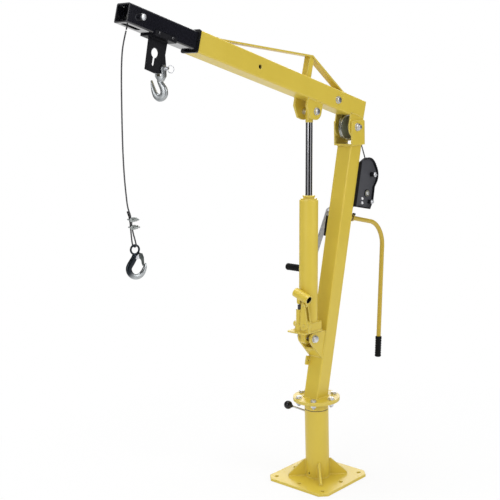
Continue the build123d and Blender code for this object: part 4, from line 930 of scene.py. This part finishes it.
def route_line(stops):
    """Smooth line whose NURBS control points are a cable's route, as a mesh of edges."""
    line = bpy.data.curves.new("route", "CURVE")
    line.dimensions = "3D"
    line.resolution_u = 12
    spline = line.splines.new("NURBS")
    spline.points.add(len(stops) - 1)
    for point, stop in zip(spline.points, stops):
        point.co = (*stop, 1)
    spline.order_u = 3
    spline.use_endpoint_u = True
    return plain_mesh(placed("route", line))


def wire_rope(line):
    """Twisted rope along a line of edges."""
    return run_tree(rope_tree, line, {"Radius": rope_radius, "Lay": rope_lay, "Finish": rope_steel})


wind_turns = 5
wind_pitch = 0.0055
wind_radius = 0.0302
wind_start = -0.0274
turn_steps = 24
wound = []
for k in range(wind_turns * turn_steps + 1):
    turns = k / turn_steps
    winding = polar(wind_radius, -2 * math.pi * turns)
    wound.append(on_mast(drum_axis[0] + winding.x, drum_axis[1] + winding.y, wind_start + wind_pitch * turns))
seat("wound_rope", wire_rope(route_line(wound)), rope_steel, "winch_drum", "wire_rope", "drum_winding")

pulley_line = 0.0457
pulley_on = 158.4
pulley_off = 120.8


def on_pulley(bearing):
    """Point of the cable on the head pulley, at an angle above the level in degrees."""
    turn = math.radians(bearing)
    return boom_pivot + Vector((math.cos(turn), 0, math.sin(turn))) * pulley_line


drum_off = Vector((-0.3325, 0.0057, 1.1348))
hoist_stops = [drum_off] + [on_pulley(bearing) for bearing in (pulley_on, 149, 140, 130, pulley_off)]
over_roller = ((0.022, 0.0527), (0.118, 0.0770), (0.1286, 0.0797), (0.139, 0.0799), (0.430, 0.0838))
hoist_stops += [on_boom(u, n) for u, n in over_roller]
hoist_rope = placed("hoist_rope", wire_rope(route_line(hoist_stops)))
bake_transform(hoist_rope)
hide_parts("mast_cable", "boom_cable")

tip_line = 0.0215
exit_u = tip_axis[0] + tip_line
exit_n = 0.026
tip_stops = [on_boom(0.620, 0.0864), on_boom(1.075, 0.0926)]
for bearing in (90.8, 78, 65, 52, 39, 26, 13, 0):
    round_tip = polar(tip_line, math.radians(bearing))
    tip_stops.append(on_boom(tip_axis[0] + round_tip.x, tip_axis[1] + round_tip.y))
tip_stops += [on_boom(exit_u, 0.060), on_boom(exit_u, exit_n + 0.0032)]
seat("tip_rope", wire_rope(route_line(tip_stops)), rope_steel, "extension", "wire_rope", "tip_cable")


# Grab hook: a forged steel hook with a narrow throat, hung from the bracket by a clevis and a headed pin
# that a thin wire ring keeps in place.
def squared_off(turn, power):
    """Cosine and sine of an angle, pushed out towards a square's corners."""
    return [math.copysign(abs(part) ** power, part) for part in (math.cos(turn), math.sin(turn))]


def forged(name, place, stations):
    """A forged bar on stations of x, z, half width and half thickness, softened by Subdivision Surface."""
    steps = 12
    rings = []
    for k, (x, z, wide, thick) in enumerate(stations):
        aside = aside_at(stations, k) * wide
        corners = [squared_off(turn + math.pi / steps, 0.75) for turn in circle(steps)]
        rings.append([place @ (Vector((x, thick * deep, z)) - aside * flat) for flat, deep in corners])
    holder = placed("holder", as_mesh(name, skin(rings), 180))
    soften = holder.modifiers.new("soften", "SUBSURF")
    soften.levels = 2
    soften.render_levels = 2
    return plain_mesh(holder)


def block(place, levels, shell):
    """A soft-cornered block on levels of height, half width and half depth along the place's z axis."""
    corners = [squared_off(turn, 0.4) for turn in circle(24)]
    rings = []
    for height, wide, deep in levels:
        rings.append([place @ Vector((x * wide, y * deep, height)) for x, y in corners])
    skin(rings, shell=shell)


def rod(points, radius, steps=12, around=False, shell=None):
    """A round bar along points; a ring when it goes all round."""
    rings = []
    aside = None
    last = len(points) - 1
    for k, point in enumerate(points):
        before = points[k - 1] if around or k > 0 else point
        after = points[(k + 1) % len(points)] if around or k < last else point
        run = (after - before).normalized()
        if aside is None:
            aside = run.orthogonal()
        aside = (aside - run * aside.dot(run)).normalized()
        other = run.cross(aside)
        rings.append([point + (aside * math.cos(t) + other * math.sin(t)) * radius for t in circle(steps)])
    return skin(rings, around, shell)


def hoop(place, radius, steps):
    """Points of a full circle in the place's xz plane."""
    return [place @ Vector((radius * math.cos(t), 0, radius * math.sin(t))) for t in circle(steps)]


def hanging_frame(point, bearing):
    """Upright frame whose x axis has a bearing in degrees."""
    return Matrix.Translation(point) @ spun(bearing, "Z")


forged_steel = plated_steel("forged_steel", (0.46, 0.48, 0.49, 1), (0.24, 0.26, 0.27, 1), roughness=0.40,
                            grain=90)
grab_eye = (0.951, -0.0414)
grab_frame = hanging_frame(on_boom(*grab_eye), bearing=105)
grab_stations = [
    (-0.0080, -0.026, 0.0085, 0.0085), (-0.0100, -0.035, 0.0084, 0.0088), (-0.0064, -0.0435, 0.0090, 0.0090),
    (-0.0010, -0.0515, 0.0104, 0.0092), (0.0034, -0.0595, 0.0118, 0.0094), (0.0054, -0.0690, 0.0126, 0.0094),
    (0.0040, -0.0790, 0.0130, 0.0094), (-0.0042, -0.0866, 0.0134, 0.0094), (-0.0152, -0.0878, 0.0130, 0.0094),
    (-0.0244, -0.0820, 0.0106, 0.0094), (-0.0296, -0.0725, 0.0082, 0.0092), (-0.0335, -0.061, 0.0062, 0.0086),
    (-0.0364, -0.048, 0.0040, 0.0074), (-0.0384, -0.036, 0.0017, 0.0058), (-0.0387, -0.034, 0.0008, 0.0052)]
clevis_aside = -0.005
clevis_place = grab_frame @ Matrix.Translation((clevis_aside, 0, 0))
ear_half = 0.0100
ear_round = 0.0120
ear_outline = [(ear_round * math.cos(turn), ear_round * math.sin(turn)) for turn in sweep(0, 180, 16)]
ear_foot = [(-ear_half, -0.012), (-ear_half, -0.024), (-0.006, -0.028)]
ear_outline += ear_foot + [(-y, z) for y, z in reversed(ear_foot)]
ear_levels = ((0.0085, 0.94), (0.0093, 1.0), (0.0142, 1.0), (0.0150, 0.94))
clevis_shell = bmesh.new()
for side in (-1, 1):
    rings = []
    for x, size in ear_levels:
        rings.append([clevis_place @ Vector((x * side, y * size, z * size)) for y, z in ear_outline])
    skin(rings, shell=clevis_shell)
neck_levels = ((-0.0390, 0.0070, 0.0080), (-0.0350, 0.0092, 0.0094), (-0.0290, 0.0132, 0.0098),
               (-0.0245, 0.0148, 0.0098), (-0.0225, 0.0140, 0.0090))
block(clevis_place, neck_levels, clevis_shell)
grab_hook = joined("forged_grab_hook", forged("grab_body", grab_frame, grab_stations),
                   as_mesh("clevis", clevis_shell))
seat("forged_grab_hook", grab_hook, forged_steel, "grab_hook", "zinc", "grab_hook")
pin_profile = [(0.0075, -0.0242), (0.0085, -0.0235), (0.0085, -0.0208), (0.0080, -0.0202), (0.0050, -0.0202),
               (0.0050, 0.0105), (0.0072, 0.0106), (0.0072, 0.0122), (0.0050, 0.0123), (0.0050, 0.0225),
               (0.0042, 0.0235)]
pin_shell = turned(grab_frame @ spun(90, "Y"), pin_profile, steps=28)
ring_place = grab_frame @ Matrix.Translation((0.031, 0, -0.003))
rod(hoop(ring_place, radius=0.011, steps=40), radius=0.0012, steps=10, around=True, shell=pin_shell)
seat_shell("clevis_pin", pin_shell, zinc, "grab_hook", "zinc", "grab_hook_pin")


# Load cable: the same wire rope hanging from the extension's slot, doubled round the hook's eye.
# Two zinc wire-rope clips hold the loop and a shrunk black sleeve covers the cut end.
rope_x = 0.850
eye_height = 1.0072
loop_frame = hanging_frame((rope_x, 0, 0), bearing=107)


def in_loop(aside, height):
    """Point in the upright plane of the cable's loop."""
    return loop_frame @ Vector((aside, 0, height))


hang_exit = on_boom(exit_u, exit_n)
low_clip = -0.0082
high_clip = -0.0098
leg_half = 0.0027
tail_end = in_loop(-0.0190, 1.1218)
tail_bend = in_loop(high_clip - leg_half, 1.102)
hang_stops = [hang_exit, on_boom(exit_u + 0.0035, -0.016), (0.8650, 0, 1.560), (0.8696, 0, 1.500),
              (0.8727, 0, 1.435), (0.8756, 0, 1.366), (0.8769, -0.0006, 1.292), (0.8757, -0.0012, 1.226),
              (0.8714, -0.0024, 1.174), (0.8652, -0.0058, 1.134), in_loop(high_clip + 0.0010, 1.110),
              in_loop(low_clip + leg_half, 1.064), in_loop(0.0020, 1.038), in_loop(0.0068, 1.0155),
              in_loop(-0.0068, 1.0155), in_loop(-0.0098, 1.038), in_loop(low_clip - leg_half, 1.064),
              tail_bend, tail_end]
hang_line = route_line(hang_stops)
load_rope = seat("load_rope", wire_rope(hang_line), rope_steel, "load_line", "wire_rope", "load_cable")
sleeve_place = lathe_place(tail_end, tail_end - tail_bend)
sleeve_profile = [(0.0027, -0.015), (0.0031, -0.0142), (0.0031, -0.0005), (0.0026, 0.0007), (0.0012, 0.001)]
sleeve_shell = turned(sleeve_place, sleeve_profile, steps=24)
end_sleeve = seat_shell("end_sleeve", sleeve_shell, black_plastic, "load_line", "black_plastic",
                        "cable_end_sleeve")
clip_zinc = plated_steel("clip_zinc", (0.50, 0.53, 0.52, 1), (0.20, 0.23, 0.22, 1), roughness=0.34, grain=150)
bow_half = 0.0060
bow_bend = -0.0022
bow_ends = 0.025
bow_arm = [(bow_ends, bow_half), (0.012, bow_half), (bow_bend, bow_half)]
bow = bow_arm + [(bow_bend - bow_half * math.sin(t), bow_half * math.cos(t)) for t in sweep(15, 165, 10)]
bow += [(x, -y) for x, y in reversed(bow_arm)]
saddle_levels = ((0.0036, 0.0098, 0.0058), (0.0052, 0.0112, 0.0068), (0.0112, 0.0112, 0.0068),
                 (0.0126, 0.0100, 0.0056))
nut_flats = 0.0106
nut_low = -0.0126
nut_high = -0.0180
thread_end = -0.0255
height_along_x = Matrix(((0, 0, 1), (1, 0, 0), (0, 1, 0))).to_4x4()
clip_shell = bmesh.new()
for aside, height in ((low_clip, 1.075), (high_clip, 1.098)):
    clip_place = loop_frame @ Matrix.Translation((aside, 0, height))
    rod([clip_place @ Vector((x, y, 0)) for x, y in bow], radius=0.0023, steps=14, shell=clip_shell)
    block(clip_place @ height_along_x, saddle_levels, clip_shell)
    for side in (-1, 1):
        arm_place = clip_place @ Matrix.Translation((0, bow_half * side, 0)) @ spun(-90, "Y")
        hexed(arm_place, nut_flats, nut_low, nut_high, clip_shell)
        threaded(arm_place, 0.0025, thread_end, nut_high, clip_shell)
rope_clips = seat_shell("rope_clips", clip_shell, clip_zinc, "load_line", "zinc", "cable_clips")


# Slip hook: forged steel with a round wire eye and a tapered point, hanging in the cable's loop.
# A folded sheet latch on a rivet is held against the point by a small coil spring.
def dark_reflection_fade(material, scale, place, way, start, end):
    """Painted dark reflection in the colour given as scale, fading to the plain colour between two distances
    along a direction of the place.
    """
    tree = material.node_tree
    bright = tree.nodes["Principled BSDF"].inputs["Base Color"].links[0].from_socket
    run = (place.to_3x3() @ Vector(way)).normalized()
    away = run.dot(place.translation)
    along = measure(tree, "DOT_PRODUCT", object_spot(tree), run)
    reflection_fade_share = ranged(tree, along, (away + start, away + end), (0, 1), interpolation_type="SMOOTHSTEP")
    surface(tree, {"Base Color": blended(tree, reflection_fade_share, scale, bright)})


hook_frame = hanging_frame((rope_x, 0, eye_height), bearing=165)
hook_stations = [
    (0.000, -0.013, 0.0080, 0.0066), (-0.0025, -0.024, 0.0092, 0.0072), (-0.0120, -0.037, 0.0104, 0.0075),
    (-0.0225, -0.050, 0.0100, 0.0075), (-0.0240, -0.060, 0.0098, 0.0075), (-0.0205, -0.071, 0.0096, 0.0075),
    (-0.0110, -0.081, 0.0095, 0.0075), (0.0030, -0.0848, 0.0092, 0.0075), (0.0170, -0.080, 0.0088, 0.0072),
    (0.0268, -0.068, 0.0076, 0.0064), (0.0312, -0.055, 0.0058, 0.0050), (0.0345, -0.0445, 0.0020, 0.0022)]
hook_steel = plated_steel("hook_steel", (0.50, 0.52, 0.53, 1), (0.30, 0.32, 0.33, 1), roughness=0.30,
                          grain=90)
# Painted dark reflection on the hook's upper back, fading to plain steel towards the bottom and the point.
dark_reflection_fade(hook_steel, (0.030, 0.036, 0.044, 1), hook_frame, way=(1, 0, -1), start=0.030, end=0.054)
eye_ring = hoop(hook_frame, radius=0.0137, steps=48)
hook_eye = as_mesh("hook_eye", rod(eye_ring, radius=0.0031, steps=16, around=True))
slip_hook = joined("forged_slip_hook", forged("hook_body", hook_frame, hook_stations), hook_eye)
seat("forged_slip_hook", slip_hook, hook_steel, "load_hook", "zinc", "load_hook")
latch_steel = plated_steel("latch_steel", (0.10, 0.112, 0.108, 1), (0.05, 0.056, 0.054, 1), roughness=0.30,
                           grain=120)
latch_cheek = [(0.0068, -0.0128), (0.0130, -0.0108), (0.0198, -0.0124), (0.0240, -0.0240), (0.0242, -0.0390),
               (0.0212, -0.0505), (0.0182, -0.0505), (0.0146, -0.0325), (0.0090, -0.0262)]
latch_stub = latch_cheek[:4] + [(0.0236, -0.0300), (0.0146, -0.0290), (0.0090, -0.0262)]
latch_web = [(0.0190, -0.0125), (0.0204, -0.0132), (0.0246, -0.0240), (0.0248, -0.0390), (0.0250, -0.0450),
             (0.0268, -0.0505), (0.0258, -0.0515), (0.0238, -0.0462), (0.0232, -0.0390), (0.0230, -0.0245)]
latch_ear = [(-0.0030, -0.0270), (-0.0028, -0.0222), (0.0020, -0.0168), (0.0070, -0.0128), (0.0092, -0.0262),
             (0.0030, -0.0292)]
near_face = (-0.0094, -0.0079)
far_face = (0.0079, 0.0094)
web_faces = (-0.0080, 0.0080)
latch_shell = bmesh.new()
for outline, faces in ((latch_cheek, near_face), (latch_stub, far_face), (latch_web, web_faces)):
    flat_plate(hook_frame, outline, *faces, latch_shell)
rivet_place = hook_frame @ Matrix.Translation((0.001, 0, -0.025)) @ spun(-90, "X")
rivet_ends = [(0.0020, 0.0094), (0.0034, 0.0098), (0.0030, 0.0106)]
hinge_shell = turned(rivet_place, mirrored(rivet_ends), steps=20)
for faces in (near_face, far_face):
    flat_plate(hook_frame, latch_ear, *faces, hinge_shell)
coil_half = 0.0068
coil_radius = 0.0029
coil_turns = 6
coil = []
for turn in sweep(0, 360 * coil_turns, 12 * coil_turns):
    coil.append(rivet_place @ polar(coil_radius, turn, coil_half * (turn / math.pi / coil_turns - 1)))
rod(coil, radius=0.0006, steps=8, shell=hinge_shell)
seat_shell("latch_hinge", hinge_shell, zinc, "hook_latch", "zinc")
seat_shell("sprung_latch", latch_shell, latch_steel, "hook_latch", "zinc", "hook_latch")


# Jack: a yellow cylinder on a cast block between the bracket's lugs, with cap rings round a chromed ram.
# The ram's head is yellow; beside the block stand the pump, its straps and the socket for a loose handle.
chrome = plated_steel("chrome", (0.33, 0.33, 0.345, 1), (0.30, 0.30, 0.315, 1), roughness=0.11, grain=20)
jack_lean = 2.083
jack_frame = side_frame(jack_pin, jack_lean)
dress(yellow_paint, "jack_base", "jack_reservoir", "jack_cap", "pump_body", "pump_socket", "release_valve")
dress(black_paint, "pump_plunger")
ram_profile = [(0.0117, 0.235), (0.0125, 0.236), (0.0125, 0.784), (0.0115, 0.785)]
seat_shell("ram_rod", turned(jack_frame, ram_profile, steps=48), chrome, "ram", "chrome", "jack_ram")
head_profile = [(0.0126, 0.783), (0.0135, 0.784), (0.0135, 0.834), (0.0085, 0.839)]
seat_shell("ram_head", turned(jack_frame, head_profile, steps=48), yellow_paint, "ram", "yellow_paint")
bore_way = jack_frame.to_3x3() @ Vector((0, 0.0634, -0.0219))
bore_place = lathe_place(jack_frame @ Vector((0.052, -0.0173, 0.1756)), bore_way)
# Matt black lining and plug inside the pump socket's bore: painted shade in the recess.
bore_shade_loop = [(0.0122, 0.0095), (0.0129, 0.0095), (0.0129, 0.0655), (0.0122, 0.0655)]
bore_shade_shell = turned(bore_place, bore_shade_loop, steps=40, around=True)
turned(bore_place, [(0.0126, 0.0092), (0.0126, 0.0100)], steps=40, shell=bore_shade_shell)
seat_shell("socket_bore", bore_shade_shell, matt_black, "pump_socket", "black_paint")
reservoir_foot = 0.062
reservoir_radius = 0.034
foot_seam = [jack_frame @ point for point in arc(reservoir_foot, reservoir_radius, 0, 360, 60)]
weld("jack_welds", [foot_seam], yellow_paint, "jack", "yellow_paint", radius=0.0022)
